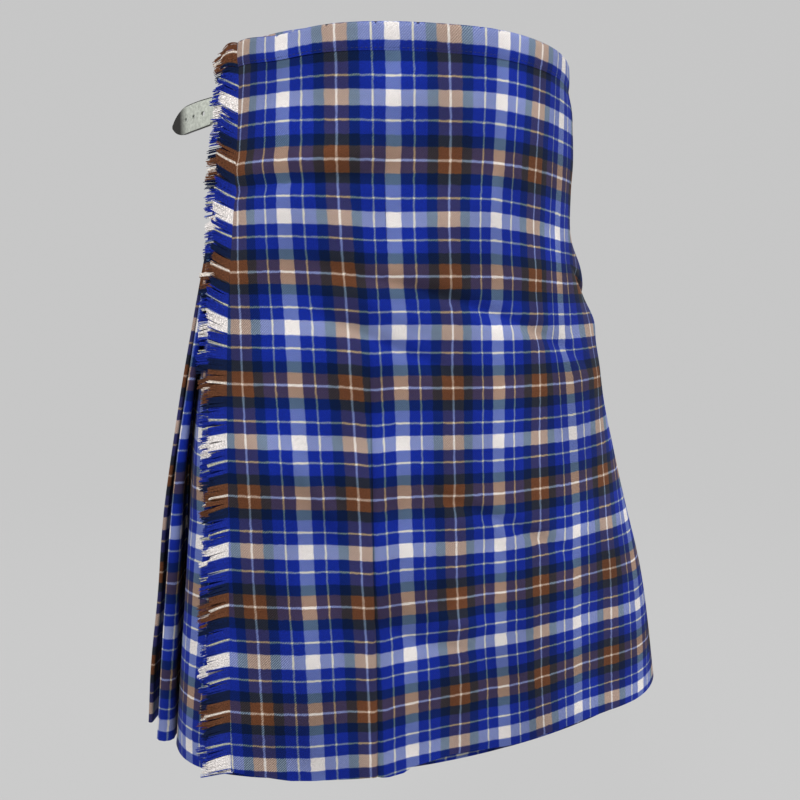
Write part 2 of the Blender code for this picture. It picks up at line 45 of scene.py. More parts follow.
# the worn form, the same as the solids'
form = {
    "top": 50 * mm,          # top edge above the straps' middle
    "length": 616 * mm,      # cloth from the top edge to the hem
    "drape": 1.5,            # height that a slanting panel loses
    "topShare": 0.45,        # how much of it shows at the top edge
    "layerRoom": 2.4 * mm,   # between the middles of a fold's two layers
    "steps": 720,            # points that a section is measured with
    "dip": (4.6 * mm, -58, 13, 60 * mm),     # how far the top edge sags, where in degrees, half its width, how deep
}
# sections round the body, in mm: a quarter on each side of the middle, and a power of 2 makes an ellipse
sectionNames = ("down", "midX", "midY", "right", "left", "front", "back",
                "rightPower", "leftPower", "backPower")
sectionRows = (
    (0, 0, 0, 165, 137, 123, 113, 2.12, 1.97, 2.2),
    (106, -10, -8, 168, 155, 109, 124, 2.19, 1.86, 2.3),
    (229, -16, -9, 181, 183, 104, 145, 2.16, 1.84, 2.5),
    (370, -18, -8, 198, 220, 103, 167, 2.15, 1.89, 2.8),
    (493, -18, -2, 206, 256, 104, 189, 2.24, 1.88, 3.1),
    (616, -16, 16, 213, 287, 110, 205, 2.33, 1.83, 3.3),
)
# where the panels end, in degrees round from the front, and how the layers lie, in mm
layerNames = ("down", "apronEdge", "apronFold", "flap", "underIn", "pleatUnder",
              "firstUnder", "pleatRoom", "flare", "fringeLift", "fringeLong")
layerRows = (
    (0, -80.6, 97, 9, 8.5, 8, 14, 1.4, 0, 50, 1.30),
    (106, -73.2, 98, 12, 8.5, 9, 18, 1.8, 0, 46, 1.42),
    (229, -67.2, 100, 18, 7.5, 13, 28, 3.0, 5, 34, 1.28),
    (370, -59.8, 102, 24, 7.0, 19, 40, 5.0, 11, 20, 1.02),
    (493, -57.4, 103, 28, 7.0, 24, 52, 7.5, 16, 18, 1.00),
    (616, -56.7, 104, 30, 7.0, 27, 62, 10.0, 20, 18, 0.88),
)


def table(names, rows):
    return {name: np.array(values, float) for name, values in zip(names, zip(*rows))}


sections = table(sectionNames, sectionRows)
layers = table(layerNames, layerRows)


def smooth(rows, name, down):
    # a curve through a column's values, by way of the slopes at the rows
    places, values = rows["down"] * mm, rows[name]
    slopes = np.gradient(values, places)
    row = min(max(int(np.searchsorted(places, down)) - 1, 0), len(places) - 2)
    step = places[row + 1] - places[row]
    t = (down - places[row]) / step
    start = (1 + 2 * t) * (1 - t) ** 2 * values[row] + t * (1 - t) ** 2 * step * slopes[row]
    return start + t * t * (3 - 2 * t) * values[row + 1] + t * t * (t - 1) * step * slopes[row + 1]


def layer(name, down):
    return smooth(layers, name, down)


def sectionPoints(down, turns):
    size = {name: smooth(sections, name, down) for name in sectionNames[1:]}
    across, ahead = np.sin(turns), np.cos(turns)
    half = np.where(across > 0, size["left"], size["right"]) * mm
    power = np.where(across > 0, size["leftPower"], size["rightPower"])
    power = np.where(ahead > 0, power, size["backPower"])
    deep = np.where(ahead > 0, size["front"], size["back"]) * mm
    x = size["midX"] * mm + half * np.sign(across) * np.abs(across) ** (2 / power)
    y = size["midY"] * mm - deep * np.sign(ahead) * np.abs(ahead) ** (2 / power)
    return np.stack([x, y], axis=1)


def spreadOf(side, middle, sign):
    # how much further out the hem is than the waist
    wider = sections[side][-1] - sections[side][0]
    return (wider + sign * (sections[middle][-1] - sections[middle][0])) * mm


def heightLost(turns):
    across, ahead = np.sin(turns), np.cos(turns)
    aside = np.where(across > 0, spreadOf("left", "midX", 1), spreadOf("right", "midX", -1))
    along = np.where(ahead > 0, spreadOf("front", "midY", -1), spreadOf("back", "midY", 1))
    slant = np.hypot(across * aside, ahead * along) / form["length"]
    return form["drape"] * form["length"] * (1 - np.sqrt(1 - slant ** 2))


class Ring:
    # the section at one distance down the cloth, measured along its line from the front

    def __init__(self, down):
        self.down = down
        turns = np.linspace(-2 * math.pi, 2 * math.pi, 2 * form["steps"] + 1)
        line = sectionPoints(down, turns)
        lengths = np.linalg.norm(np.diff(line, axis=0), axis=1)
        lengths = np.concatenate([[0.0], np.cumsum(lengths)])
        lengths -= np.interp(0.0, turns, lengths)
        self.along = np.linspace(lengths[0], lengths[-1], form["steps"])
        self.turns = np.interp(self.along, lengths, turns)
        self.line = np.stack([np.interp(self.along, lengths, line[:, k]) for k in (0, 1)], axis=1)
        slope = np.gradient(self.line, self.along, axis=0)
        slope /= np.linalg.norm(slope, axis=1)[:, None]
        self.outward = np.stack([slope[:, 1], -slope[:, 0]], axis=1)
        lost = heightLost(self.turns)
        self.height = form["top"] - form["topShare"] * lost - down * (1 - lost / form["length"])
        fall, turn, wide, deep = form["dip"]
        near = np.exp(-((np.degrees(self.turns) - turn) / wide) ** 2)
        self.height -= fall * near * max(1 - down / deep, 0)

    def at(self, degrees):
        return float(np.interp(math.radians(degrees), self.turns, self.along))

    def points(self, along, out=0.0, drop=0.0):
        # places along the line, moved outward and down
        def read(values):
            return np.interp(along, self.along, values)
        x = read(self.line[:, 0]) + out * read(self.outward[:, 0])
        y = read(self.line[:, 1]) + out * read(self.outward[:, 1])
        return np.stack([x, y, read(self.height) - drop], axis=-1)

    def point(self, along, out=0.0):
        return Vector(self.points(np.array([along]), out)[0])


# how the tartan lies on the worn cloth
tartan = {
    "sett": 88,              # mm of one repeat
    # mm down from the top edge, and degrees round from the front, of the middle white stripe
    "stripeDown": (0, 44, 88, 132, 176, 229, 300, 370, 440, 493, 554, 613),
    "stripeTurn": (-21.4, -18.9, -16.8, -15.3, -13.6, -11.5, -9.8, -8.6, -7.2, -5.9, -4.9, -4.1),
    "firstWhite": 0.72,      # setts from the top edge down to the first white row
    # mm that the rows sag at white stripes: mm down, then the stripe to the right of the middle one, the
    # middle one and three to its left
    "sag": (
        (0, -9, -9, -11, -11, -11), (55, -8, -6.3, -9.2, -8.7, -9), (103, -4, -3, -5, -3, -4.5),
        (147, -4.4, -1, -3.7, 2.9, 0), (236, -5, -0.8, 1, 1.6, 0), (327, -0.7, 1, 4.2, 4.9, 2),
        (416, 0.2, 2.2, 6.5, 7, 10), (507, 5, 5, 3, 4.5, 13), (597, 9, 5.5, 4.6, 4.2, 11),
        (616, 9.5, 5.7, 4.7, 4.2, 11),
    ),
    "sagSides": (-88, 0, 88, 176, 264),
    # mm that the cloth is bunched together or drawn apart along the rows, left of the middle stripe
    "bunch": (
        (0, 0, 0, -5, -5, -3, 0, 0), (63, 0, -2, -5, -4, 0, 0, 0), (107, 0, -2.8, -4, -2, 3, 2, 0),
        (151, 0, -2, -2, 0, 10, 6, 0), (195, 0, -2, -1, -2, 10, 2, 0), (239, 0, -1, 0.5, -2, 12, -3, -4),
        (283, 0, -0.6, 0, -1.6, 3, -9.5, -8), (327, 0, 0, 1.4, 1, 2.5, -4, -6), (371, 0, 0, 1.4, 1.5, 2.5, -1.2, -4),
        (415, 0, 0, 1.4, 2, 3, -1, -3), (459, 0, 0, 2, 4, 4.5, -1.8, -3), (503, 0, 0, 3.9, 5, 6.5, -1, -3),
        (547, 0, -2, 1, 4.7, 3, -1.6, -4), (616, 0, -1, -1, 0, 0, -3, -5),
    ),
    "bunchSides": (0, 44, 88, 132, 176, 220, 264),
}
# the pressed crease that runs down the front, in mm: where it is, how much cloth it takes up and over what
# width, how far the rows sag at it and how deep its groove is
pressed = {
    "down": (0, 100, 151, 239, 283, 371, 616),
    "taken": (0, 0, 1.7, 3.0, 3.4, 6.0, 6.4),
    "side": (-22, -22, -22, -24, -25, -26, -31),
    "sag": (0, 0, 0.6, 1.4, 2.0, 2.2, 2.2),
    "deep": (0, 0, 0, 0.2, 1.6, 2.8, 2.6),
    "wide": (40, 40, 34, 14, 5, 2.2, 2.2),
    "sagWide": 14, "grooveWide": 1.8, "groovePower": 1.3,      # of the sag, and of the groove that is pressed deep
}


def stripeAlong(ring):
    return ring.at(np.interp(ring.down / mm, tartan["stripeDown"], tartan["stripeTurn"]))


def pressedAt(name, depth):
    return float(np.interp(depth, pressed["down"], pressed[name]))


def readTable(name, depth, side):
    # a table's value between its rows and columns
    rows, columns = np.array(tartan[name], float), tartan[name + "Sides"]
    return np.interp(side, columns, [np.interp(depth, rows[:, 0], rows[:, k + 1]) for k in range(len(columns))])


def tartanPlace(ring, along):
    # metres along the weft from the middle white stripe, and down the warp from a white row
    side = (along - stripeAlong(ring)) / mm
    depth = ring.down / mm
    down = depth - readTable("sag", depth, side) - tartan["firstWhite"] * tartan["sett"]
    down -= pressedAt("sag", depth) * np.exp(-((side - pressedAt("side", depth)) / pressed["sagWide"]) ** 2)
    beyond = np.clip((pressedAt("side", depth) - side) / pressedAt("wide", depth) + 0.5, 0, 1)
    taken = pressedAt("taken", depth) * beyond * beyond * (3 - 2 * beyond)
    side = side - taken + readTable("bunch", depth, side)
    return np.stack([side, down], axis=-1) * mm


def linear(hexColour):
    values = [int(hexColour[k:k + 2], 16) / 255 for k in (1, 3, 5)]
    return [v / 12.92 if v <= 0.04045 else ((v + 0.055) / 1.055) ** 2.4 for v in values] + [1.0]


def feed(tree, made, inputs):
    # inputs are keyed by the socket's name or number: a node or a socket is linked and a value is set
    for key, value in inputs.items():
        if isinstance(value, bpy.types.Node):
            value = next(socket for socket in value.outputs if socket.enabled)
        if isinstance(value, bpy.types.NodeSocket):
            tree.links.new(value, made.inputs[key])
        else:
            made.inputs[key].default_value = value
    return made


def addNode(tree, kind, inputs=None, **settings):
    made = tree.nodes.new(kind)
    for name, value in settings.items():
        setattr(made, name, value)
    return feed(tree, made, inputs or {})


def newMaterial(name, **values):
    made = bpy.data.materials.new(name)
    made.use_nodes = True
    tree, shader = made.node_tree, made.node_tree.nodes["Principled BSDF"]
    feed(tree, shader, {socket.replace("_", " "): value for socket, value in values.items()})
    return made, tree, shader


def unevenness(tree, place, long, low, high, detail=2.0):
    # a value that drifts between low and high, over about this length
    noise = addNode(tree, "ShaderNodeTexNoise", {"Vector": place, "Scale": 1 / long, "Detail": detail})
    return addNode(tree, "ShaderNodeMapRange",
                   {0: noise, "From Min": 0.3, "From Max": 0.7, "To Min": low, "To Max": high})


tartanCloth = {
    "thread": 0.5 * mm,      # between yarns, so that a twill rib is 1.4 mm wide
    # mm from the middle of the white stripe to that of the brown one, and the yarn that starts there
    "yarns": ((0, "#d9d3d0"), (6.0, "#152884"), (15.1, "#b4b199"), (16.8, "#152884"),
              (26.0, "#061a3a"), (34.3, "#5e3b28"), (43.0, "#cfc6bd")),
    "lofty": (15.1, 43.0),   # where the white lines start, whose warp yarns stand out
    "loft": 0.07,            # how much more of them is seen
    "soft": 0.4,             # mm that one yarn's colour takes to give way to the next
    "weftShows": 0.57,       # the weft's share of what is seen
    "twill": 0.14,           # how far the upper yarn hides the other
    "blend": 0.6,            # power of the seen colours in which two yarns blend: dark yarns weigh more
    "wander": 0.35 * mm, "wanderLong": 4.5455 * mm,     # how far a stripe's edge strays, and over what length
    "heather": 0.10, "fibre": 0.9091 * mm,              # lighter and darker fibres, and their length
    "uneven": 0.05, "patch": 71.43 * mm,                # lighter and darker patches, and their size
    "relief": 0.4, "ribHigh": 0.2 * mm, "hairs": 6.0,  # the ribs' relief, and how much the fibres add to it
}


def yarnColour(tree, place):
    # the yarn at a distance from the middle of a white stripe: half a sett, mirrored
    half = 0.5 * tartan["sett"]
    folded = addNode(tree, "ShaderNodeMath", {0: place, 1: half * mm}, operation="PINGPONG")
    share = addNode(tree, "ShaderNodeMath", {0: folded, 1: half * mm}, operation="DIVIDE")
    ramp = addNode(tree, "ShaderNodeValToRGB", {0: share})
    yarns = tartanCloth["yarns"]
    starts = [distance + tartanCloth["soft"] for distance, colour in yarns]
    ends = [distance - tartanCloth["soft"] for distance, colour in yarns[1:]] + [half]
    stops = ramp.color_ramp.elements
    while len(stops) < 2 * len(yarns):
        stops.new(0.5)
    for number, (distance, colour) in enumerate(yarns):
        dyed = [(int(colour[k:k + 2], 16) / 255) ** tartanCloth["blend"] for k in (1, 3, 5)]
        dyed.append(float(distance in tartanCloth["lofty"]))
        for stop, at in ((stops[2 * number], starts[number]), (stops[2 * number + 1], ends[number])):
            stop.position, stop.color = at / half, dyed
    return ramp


def fromEyeToLight(tree, colour, tone):
    # dyed yarns blend by eye, so they are mixed as seen and turned linear last
    toned = addNode(tree, "ShaderNodeVectorMath", {0: colour, "Scale": tone}, operation="SCALE")
    return addNode(tree, "ShaderNodeGamma", {0: toned, 1: 2.2 / tartanCloth["blend"]})


def woolTartanTwill(name, shade):
    # worsted wool in a two-and-two twill: matt and faintly hairy, with fine diagonal ribs
    made, tree, shader = newMaterial(name, Roughness=0.94, Specular_IOR_Level=0.1,
                                     Sheen_Weight=0.04, Sheen_Roughness=0.4)
    cloth = addNode(tree, "ShaderNodeUVMap", uv_map="cloth")
    across, down = addNode(tree, "ShaderNodeSeparateXYZ", {0: cloth}).outputs[:2]
    # the yarns wander, so no stripe has a ruled edge
    stray = tartanCloth["wander"]
    wander = unevenness(tree, cloth, tartanCloth["wanderLong"], -stray, stray)
    warp = yarnColour(tree, addNode(tree, "ShaderNodeMath", {0: across, 1: wander}, operation="ADD"))
    weft = yarnColour(tree, addNode(tree, "ShaderNodeMath", {0: down, 1: wander}, operation="SUBTRACT"))
    # two yarns over and two under, and one yarn further on in each row
    diagonal = addNode(tree, "ShaderNodeMath", {0: across, 1: down}, operation="ADD")
    step = addNode(tree, "ShaderNodeMath", {0: diagonal, 1: tartanCloth["thread"]}, operation="DIVIDE")
    rib = addNode(tree, "ShaderNodeMath", {0: step, 1: 2.0}, operation="PINGPONG")
    shows, twill = tartanCloth["weftShows"], tartanCloth["twill"]
    over = addNode(tree, "ShaderNodeMapRange",
                   {0: rib, "From Min": 0.6, "From Max": 1.4, "To Min": shows - twill, "To Max": shows + twill})
    lofty = addNode(tree, "ShaderNodeMath", {0: warp.outputs["Alpha"], 1: tartanCloth["loft"]}, operation="MULTIPLY")
    weftSeen = addNode(tree, "ShaderNodeMath", {0: over, 1: lofty}, operation="SUBTRACT")
    woven = addNode(tree, "ShaderNodeMix", {"Factor": weftSeen, "A": warp, "B": weft}, data_type="RGBA")
    heather, uneven = tartanCloth["heather"], tartanCloth["uneven"]
    fibres = unevenness(tree, cloth, tartanCloth["fibre"], -heather, heather, 3.0)
    patches = unevenness(tree, cloth, tartanCloth["patch"], shade - uneven, shade + uneven)
    tone = addNode(tree, "ShaderNodeMath", {0: fibres, 1: patches}, operation="ADD")
    hairs = addNode(tree, "ShaderNodeMath", {0: fibres, 1: tartanCloth["hairs"]}, operation="MULTIPLY")
    high = addNode(tree, "ShaderNodeMath", {0: rib, 1: hairs}, operation="ADD")
    bump = addNode(tree, "ShaderNodeBump",
                   {"Strength": tartanCloth["relief"], "Distance": tartanCloth["ribHigh"], "Height": high})
    feed(tree, shader, {"Base Color": fromEyeToLight(tree, woven, tone), "Normal": bump})
    return made


ravelled = {"fibre": 0.6667 * mm, "tone": (0.82, 1.16)}


def ravelledWoolThread(name):
    # weft yarns let loose: each keeps its own dye, and its fibres spread lighter and darker
    made, tree, shader = newMaterial(name, Roughness=0.95, Specular_IOR_Level=0.15,
                                     Sheen_Weight=0.15, Sheen_Roughness=0.5)
    cloth = addNode(tree, "ShaderNodeUVMap", uv_map="cloth")
    down = addNode(tree, "ShaderNodeSeparateXYZ", {0: cloth}).outputs[1]
    tone = unevenness(tree, cloth, ravelled["fibre"], *ravelled["tone"])
    feed(tree, shader, {"Base Color": fromEyeToLight(tree, yarnColour(tree, down), tone)})
    return made


leather = {
    # the straps' face colour is a painted reflection: the leather is black, and the pale grey stands for the lamps'
    # light on its polish
    "face": "#afb3a9", "edge": "#15130f",
    "edgeWide": 1.3 * mm, "tipLong": 25 * mm,
    "rough": (0.3, 0.62), "wax": (0.35, 0.04),         # of the face, and of the tip, which isn't waxed; the tip's black is the leather's own, where the painted reflection stops
    "worn": (0.72, 1.2), "speck": 2.6667 * mm,          # darker and lighter wear, and its size
    "grain": 0.45 * mm, "grainHigh": 0.1 * mm,
}


def polishedBridleLeather(name, halfWide, length, face):
    # waxed bridle leather: a smooth glossy face, black dyed edges, a fine even grain; on the straps the face's pale
    # colour is a painted reflection of the lamps on black leather
    made, tree, shader = newMaterial(name, Coat_Roughness=0.18)
    strap = addNode(tree, "ShaderNodeUVMap", uv_map="strap")
    along, across = addNode(tree, "ShaderNodeSeparateXYZ", {0: strap}).outputs[:2]
    aside = addNode(tree, "ShaderNodeMath", {0: across}, operation="ABSOLUTE")
    edge = addNode(tree, "ShaderNodeMapRange", {0: aside, "From Min": halfWide - leather["edgeWide"],
                                                "From Max": halfWide - 0.6 * leather["edgeWide"]})
    tip = addNode(tree, "ShaderNodeMapRange", {0: along, "From Min": length - leather["tipLong"],
                                               "From Max": length - 0.5 * leather["tipLong"]})
    rough, waxed = [addNode(tree, "ShaderNodeMapRange", {0: tip, "To Min": faceValue, "To Max": tipValue})
                    for faceValue, tipValue in (leather["rough"], leather["wax"])]
    # the painted reflection gives way at the edges and the tip, where the leather's own black shows
    dark = addNode(tree, "ShaderNodeMath", {0: edge, 1: tip}, operation="MAXIMUM")
    colour = addNode(tree, "ShaderNodeMix", {"Factor": dark, "A": linear(face), "B": linear(leather["edge"])},
                     data_type="RGBA")
    worn = unevenness(tree, strap, leather["speck"], *leather["worn"], 4.0)
    toned = addNode(tree, "ShaderNodeVectorMath", {0: colour, "Scale": worn}, operation="SCALE")
    grain = addNode(tree, "ShaderNodeTexVoronoi", {"Vector": strap, "Scale": 1 / leather["grain"]})
    bump = addNode(tree, "ShaderNodeBump", {"Strength": 0.25, "Distance": leather["grainHigh"], "Height": grain})
    feed(tree, shader, {"Base Color": toned, "Roughness": rough, "Coat Weight": waxed, "Normal": bump})
    return made


plating = {
    "marks": 1.4286 * mm, "rough": (0.14, 0.34),         # handling marks: their size, and how rough they leave it
    "dents": 2.8571 * mm, "dentDeep": 0.05 * mm,
}


def nickelPlatedSteel(name):
    # bright plating over polished wire, with faint handling marks that blur the shine
    made, tree, shader = newMaterial(name, Metallic=1.0, Base_Color=linear("#c9c7c1"))
    place = addNode(tree, "ShaderNodeTexCoord").outputs["Object"]
    marks = unevenness(tree, place, plating["marks"], *plating["rough"])
    dents = unevenness(tree, place, plating["dents"], 0.0, 1.0)
    bump = addNode(tree, "ShaderNodeBump", {"Strength": 0.08, "Distance": plating["dentDeep"], "Height": dents})
    feed(tree, shader, {"Roughness": marks, "Normal": bump})
    return made


# the twist's pitch, and how dark and light its bands of painted shade and light are
sewingThread = {"twist": 0.34907 * mm, "tone": (0.7, 1.15)}


def waxedThread(name, colour):
    # twisted sewing thread, with the twist as fine darker and lighter bands of painted shade and light; a wave of scale
    # 1 repeats every tenth of pi
    made, tree, shader = newMaterial(name, Roughness=0.6)
    place = addNode(tree, "ShaderNodeTexCoord").outputs["Object"]
    scale = 0.1 * math.pi / sewingThread["twist"]
    twist = addNode(tree, "ShaderNodeTexWave", {"Vector": place, "Scale": scale, "Distortion": 1.5}).outputs["Fac"]
    dark, light = sewingThread["tone"]
    # painted shade and light: the thread's colour is darkened in the twist's grooves and lightened on its crowns
    shown = addNode(tree, "ShaderNodeMapRange", {0: twist, "To Min": dark, "To Max": light})
    toned = addNode(tree, "ShaderNodeVectorMath", {0: linear(colour)[:3], "Scale": shown}, operation="SCALE")
    feed(tree, shader, {"Base Color": toned})
    return made


wool = woolTartanTwill("wool tartan twill", 0.965)
fringeWool = ravelledWoolThread("ravelled wool thread")
nickel = nickelPlatedSteel("nickel plated steel")
navyThread = waxedThread("waxed navy thread", "#1a2140")
blackThread = waxedThread("waxed black thread", "#1c1a18")
print("materials made")


def newObject(name, data):
    made = bpy.data.objects.new(name, data)
    bpy.context.scene.collection.objects.link(made)
    return made


def addObject(name, mesh, material):
    made = newObject(name, mesh)
    mesh.materials.clear()
    mesh.materials.append(material)
    return made


def settle(piece, sharp=50):
    # the modifiers' result becomes a plain mesh with crisp edges
    graph = bpy.context.evaluated_depsgraph_get()
    mesh = bpy.data.meshes.new_from_object(piece.evaluated_get(graph))
    piece.modifiers.clear()
    piece.data = mesh
    mesh.shade_smooth()
    mesh.set_sharp_from_angle(angle=math.radians(sharp))
    return piece


def addUvs(mesh, name, uvs):
    corner = np.zeros(len(mesh.loops), np.int32)
    mesh.loops.foreach_get("vertex_index", corner)
    flat = uvs.reshape(-1, 2)[corner].astype(np.float32)
    mesh.uv_layers.new(name=name).data.foreach_set("uv", flat.ravel())


def gridMesh(name, points, uvs, uvName, missing=None, closed=False):
    rows, columns = points.shape[:2]
    index = np.arange(rows * columns).reshape(rows, columns)
    if closed:
        index = np.concatenate([index, index[:, :1]], axis=1)
    quads = np.stack([index[:-1, :-1], index[1:, :-1], index[1:, 1:], index[:-1, 1:]], axis=-1)
    quads = quads.reshape(-1, 4) if missing is None else quads[~missing]
    mesh = bpy.data.meshes.new(name)
    mesh.from_pydata(points.reshape(-1, 3).tolist(), [], quads.tolist())
    addUvs(mesh, uvName, uvs)
    return mesh


def clothShell(name, points, uvs, thick, material, missing=None, uvName="cloth"):
    mesh = gridMesh(name, points, uvs, uvName, missing)
    work = bmesh.new()
    work.from_mesh(mesh)
    bmesh.ops.delete(work, geom=[vert for vert in work.verts if not vert.link_faces], context="VERTS")
    work.to_mesh(mesh)
    work.free()
    shell = addObject(name, mesh, material)
    solid = shell.modifiers.new("thickness", "SOLIDIFY")
    solid.thickness = thick
    solid.offset = 0.0
    solid.use_even_offset = False       # even offset throws stray points where the folds are tight
    return settle(shell)


def dress(piece, slotName, *nodes):
    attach(piece, "root")
    if nodes:
        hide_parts(*nodes)
    return piece


def spacedOut(start, end, count, crowds):
    # places from start to end, closer together near some of them: (place, half width, how much)
    fine = np.linspace(start, end, 3000)
    crowd = np.ones_like(fine)
    for place, wide, much in crowds:
        crowd += much * np.exp(-((fine - place) / wide) ** 2)
    passed = np.concatenate([[0.0], np.cumsum(0.5 * (crowd[1:] + crowd[:-1]))])
    return np.interp(np.linspace(0, passed[-1], count), passed, fine)


def arc(steps, start, end):
    turns = np.radians(np.linspace(start, end, steps))
    return np.cos(turns), np.sin(turns)


# the over-apron: the plain panel across the front, with its left edge turned in
apron = {
    "edgeDown": (0, 150, 239, 330, 415, 503, 591, 616),
    "edgeIn": (0, 0, 2.5, 4.5, 6, 8.5, 12.5, 14),       # mm that ravelling has eaten into the edge
    "rows": 208,
    "columns": 176,
    "thick": 1.2 * mm,
    "slitTurn": 88, "slitHalfWide": 4.6, "slitHalfHigh": 13.2,   # where the left strap comes out
    "foldNames": ("along", "down", "halfWide", "halfHigh", "lean", "rise"),
    # the broad folds, in mm: the solid has all but the last two, the bulge and the slack at the left hip
    "folds": ((205, 184, 34, 11, .45, 4.5), (212, 207, 36, 10, .45, -4.5), (208, 264, 30, 38, 0, 3.5),
              (-62, 560, 26, 130, 0, 2.5), (18, 585, 30, 120, 0, -3), (92, 575, 34, 130, 0, 3),
              (170, 590, 32, 110, 0, -2.5), (252, 580, 36, 140, 0, 3),
              (228, 231, 44, 16, 0, 5.5), (188, 151, 40, 34, 0, -5.8)),
    # creases: half width and rise in mm, then (mm left of the middle stripe, mm down) along each
    "creases": (
        (9, -1.7, ((-60, 330), (-66, 420), (-58, 520), (-52, 616))),
        (8, 1.4, ((-86, 300), (-92, 430), (-90, 560), (-84, 640))),
        (10, 1.6, ((40, 300), (46, 400), (44, 500), (52, 640))),
        (8, -1.4, ((66, 380), (72, 470), (74, 560), (80, 640))),
        (9, -1.6, ((118, 330), (126, 420), (130, 520), (128, 640))),
        (10, 1.6, ((150, 300), (160, 380), (166, 480), (172, 640))),
        (8, -1.3, ((196, 330), (210, 420), (214, 520), (222, 640))),
        (7, -4.0, ((-75, 180), (-59, 188), (-21, 196), (37, 210), (115, 234), (190, 262), (215, 275))),
        (8, 2.4, ((-70, 203), (-30, 213), (24, 233), (60, 246))),
        (7, -3.8, ((-72, 222), (-57, 227), (-8, 250), (31, 266), (48, 275))),
        (7, 2.6, ((-150, 110), (-130, 108), (-15, 98), (10, 96))),
        (6, -3.2, ((-150, 128), (-128, 125), (-47, 118), (-17, 116), (10, 112))),
        (8, 2.8, ((-100, 334), (-85, 348), (-52, 398), (-40, 420))),
        (7, -3.6, ((5, 355), (25, 372), (85, 400), (145, 430), (170, 448))),
        (7, -2.6, ((-40, 470), (10, 500), (70, 516))),
        (8, 2.0, ((-20, 455), (30, 482), (90, 498))),
        (7, -0.8, ((150, 196), (120, 214), (84, 226), (40, 230))),
        (8, 0.7, ((160, 178), (120, 190), (80, 200))),
        (7, -0.7, ((-70, 196), (-30, 214), (20, 222), (60, 218))),
        (6, -0.6, ((-84, 120), (-50, 134), (-10, 140))),
        (7, 0.6, ((60, 96), (110, 112), (150, 140))),
        (5, -0.5, ((0, 20), (2, 90), (1, 160), (3, 230))),
        (6, 0.5, ((130, 30), (136, 90), (142, 150))),
        (6, -0.5, ((86, 40), (90, 110), (98, 180))),
    ),
    # the cloth hanging over itself at the left hip, in mm
    "hip": {"down": 193, "lean": 0.42, "leanFrom": 205, "along": 216, "halfWide": 44, "ridge": 2.2, "ridgeHigh": 7,
            "trough": 5.0, "troughBelow": 10, "troughHigh": 5, "hang": 9.0, "hangAbove": 1, "hangHigh": 8},
    # the fullness over the left front, in mm: where it starts and ends down the cloth, and how softly
    "full": {"rise": 4.2, "along": 162, "halfWide": 30, "start": 29, "startSoft": 9, "end": 96, "endSoft": 16},
    # the hem isn't level: mm round from the middle white stripe, and mm up
    "hemSide": (-168, -150, -130, -105, -40, -22, -8, 0, 40, 100, 137, 215, 258),
    "hemUp": (8.5, 5.8, 4.4, 0.8, 0, -2, -0.6, 3.6, 7.5, 5.8, 6.6, 3.6, 1.8),
    "hemFrom": 530,                            # mm down where the hem's rise starts
    "wobble": 0.30 * mm,
    "rowsCrowd": (0.195, 0.028, 1.4),          # where the rows crowd, in metres, over what half width, how much
    "creaseCrowd": (7 * mm, 4.0),              # the same for the columns at the pressed crease
    "flapSinks": 0.5 * mm,
}
apronFolds = [dict(zip(apron["foldNames"], row)) for row in apron["folds"]]


def creaseRise(side, depth, wide, rise, line):
    # a soft ridge, or a trough where the rise is below nought, that dies away at both ends
    line = np.array(line, float)
    steps = np.linalg.norm(np.diff(line, axis=0), axis=1)
    best, share = np.full(side.shape, 1e9), np.zeros(side.shape)
    for number, step in enumerate(steps):
        start, end = line[number], line[number + 1]
        t = ((side - start[0]) * (end[0] - start[0]) + (depth - start[1]) * (end[1] - start[1])) / step ** 2
        t = np.clip(t, 0, 1)
        gap = np.hypot(side - start[0] - t * (end[0] - start[0]), depth - start[1] - t * (end[1] - start[1]))
        nearer = gap < best
        best = np.where(nearer, gap, best)
        share = np.where(nearer, (steps[:number].sum() + t * step) / steps.sum(), share)
    return rise * mm * np.exp(-(best / wide) ** 2) * np.sin(math.pi * np.clip(share, 0, 1)) ** 0.6


def wobble(side, depth, size, start):
    # slow unevenness of cloth that isn't pressed
    waves = ((31, 47, 0.0), (-23, 61, 1.3), (57, -29, 2.1), (83, 19, 4.0))
    return size * sum(np.sin(side / a + depth / b + c + start) for a, b, c in waves) / 2


def edgeIn(down):
    return float(np.interp(down / mm, apron["edgeDown"], apron["edgeIn"])) * mm


def apronRelief(ring, along):
    side, depth, place = (along - stripeAlong(ring)) / mm, ring.down / mm, along / mm
    out = wobble(side, depth, apron["wobble"], 0.4)
    for fold in apronFolds:
        aside = place - fold["along"]
        below = (depth - fold["down"] - fold["lean"] * aside) / fold["halfHigh"]
        out += fold["rise"] * mm * np.exp(-(aside / fold["halfWide"]) ** 2 - below ** 2)
    for wide, rise, line in apron["creases"]:
        out += creaseRise(side, depth, wide, rise, line)
    away = np.abs((side - pressedAt("side", depth)) / pressed["grooveWide"])
    out -= pressedAt("deep", depth) * mm * np.exp(-away ** pressed["groovePower"])
    # at the left hip the cloth hangs over itself
    hip, full = apron["hip"], apron["full"]
    below = depth - hip["down"] - hip["lean"] * (place - hip["leanFrom"])
    near = np.exp(-((place - hip["along"]) / hip["halfWide"]) ** 2)
    out += near * (hip["ridge"] * np.exp(-(below / hip["ridgeHigh"]) ** 2)
                   - hip["trough"] * np.exp(-((below - hip["troughBelow"]) / hip["troughHigh"]) ** 2)) * mm
    starts, ends = [np.tanh((depth - full[name]) / full[name + "Soft"]) for name in ("start", "end")]
    out += full["rise"] * 0.5 * (starts - ends) * np.exp(-((place - full["along"]) / full["halfWide"]) ** 2) * mm
    drop = near * hip["hang"] * np.exp(-((below + hip["hangAbove"]) / hip["hangHigh"]) ** 2) * mm
    return out, drop


def hemRise(ring, along):
    # the lowest part is cut away rather than squeezed, so the tartan's place goes with it
    start = apron["hemFrom"] * mm
    low = min(max((ring.down - start) / (form["length"] - start), 0.0), 1.0)
    return np.interp((along - stripeAlong(ring)) / mm, apron["hemSide"], apron["hemUp"]) * mm * low ** 2


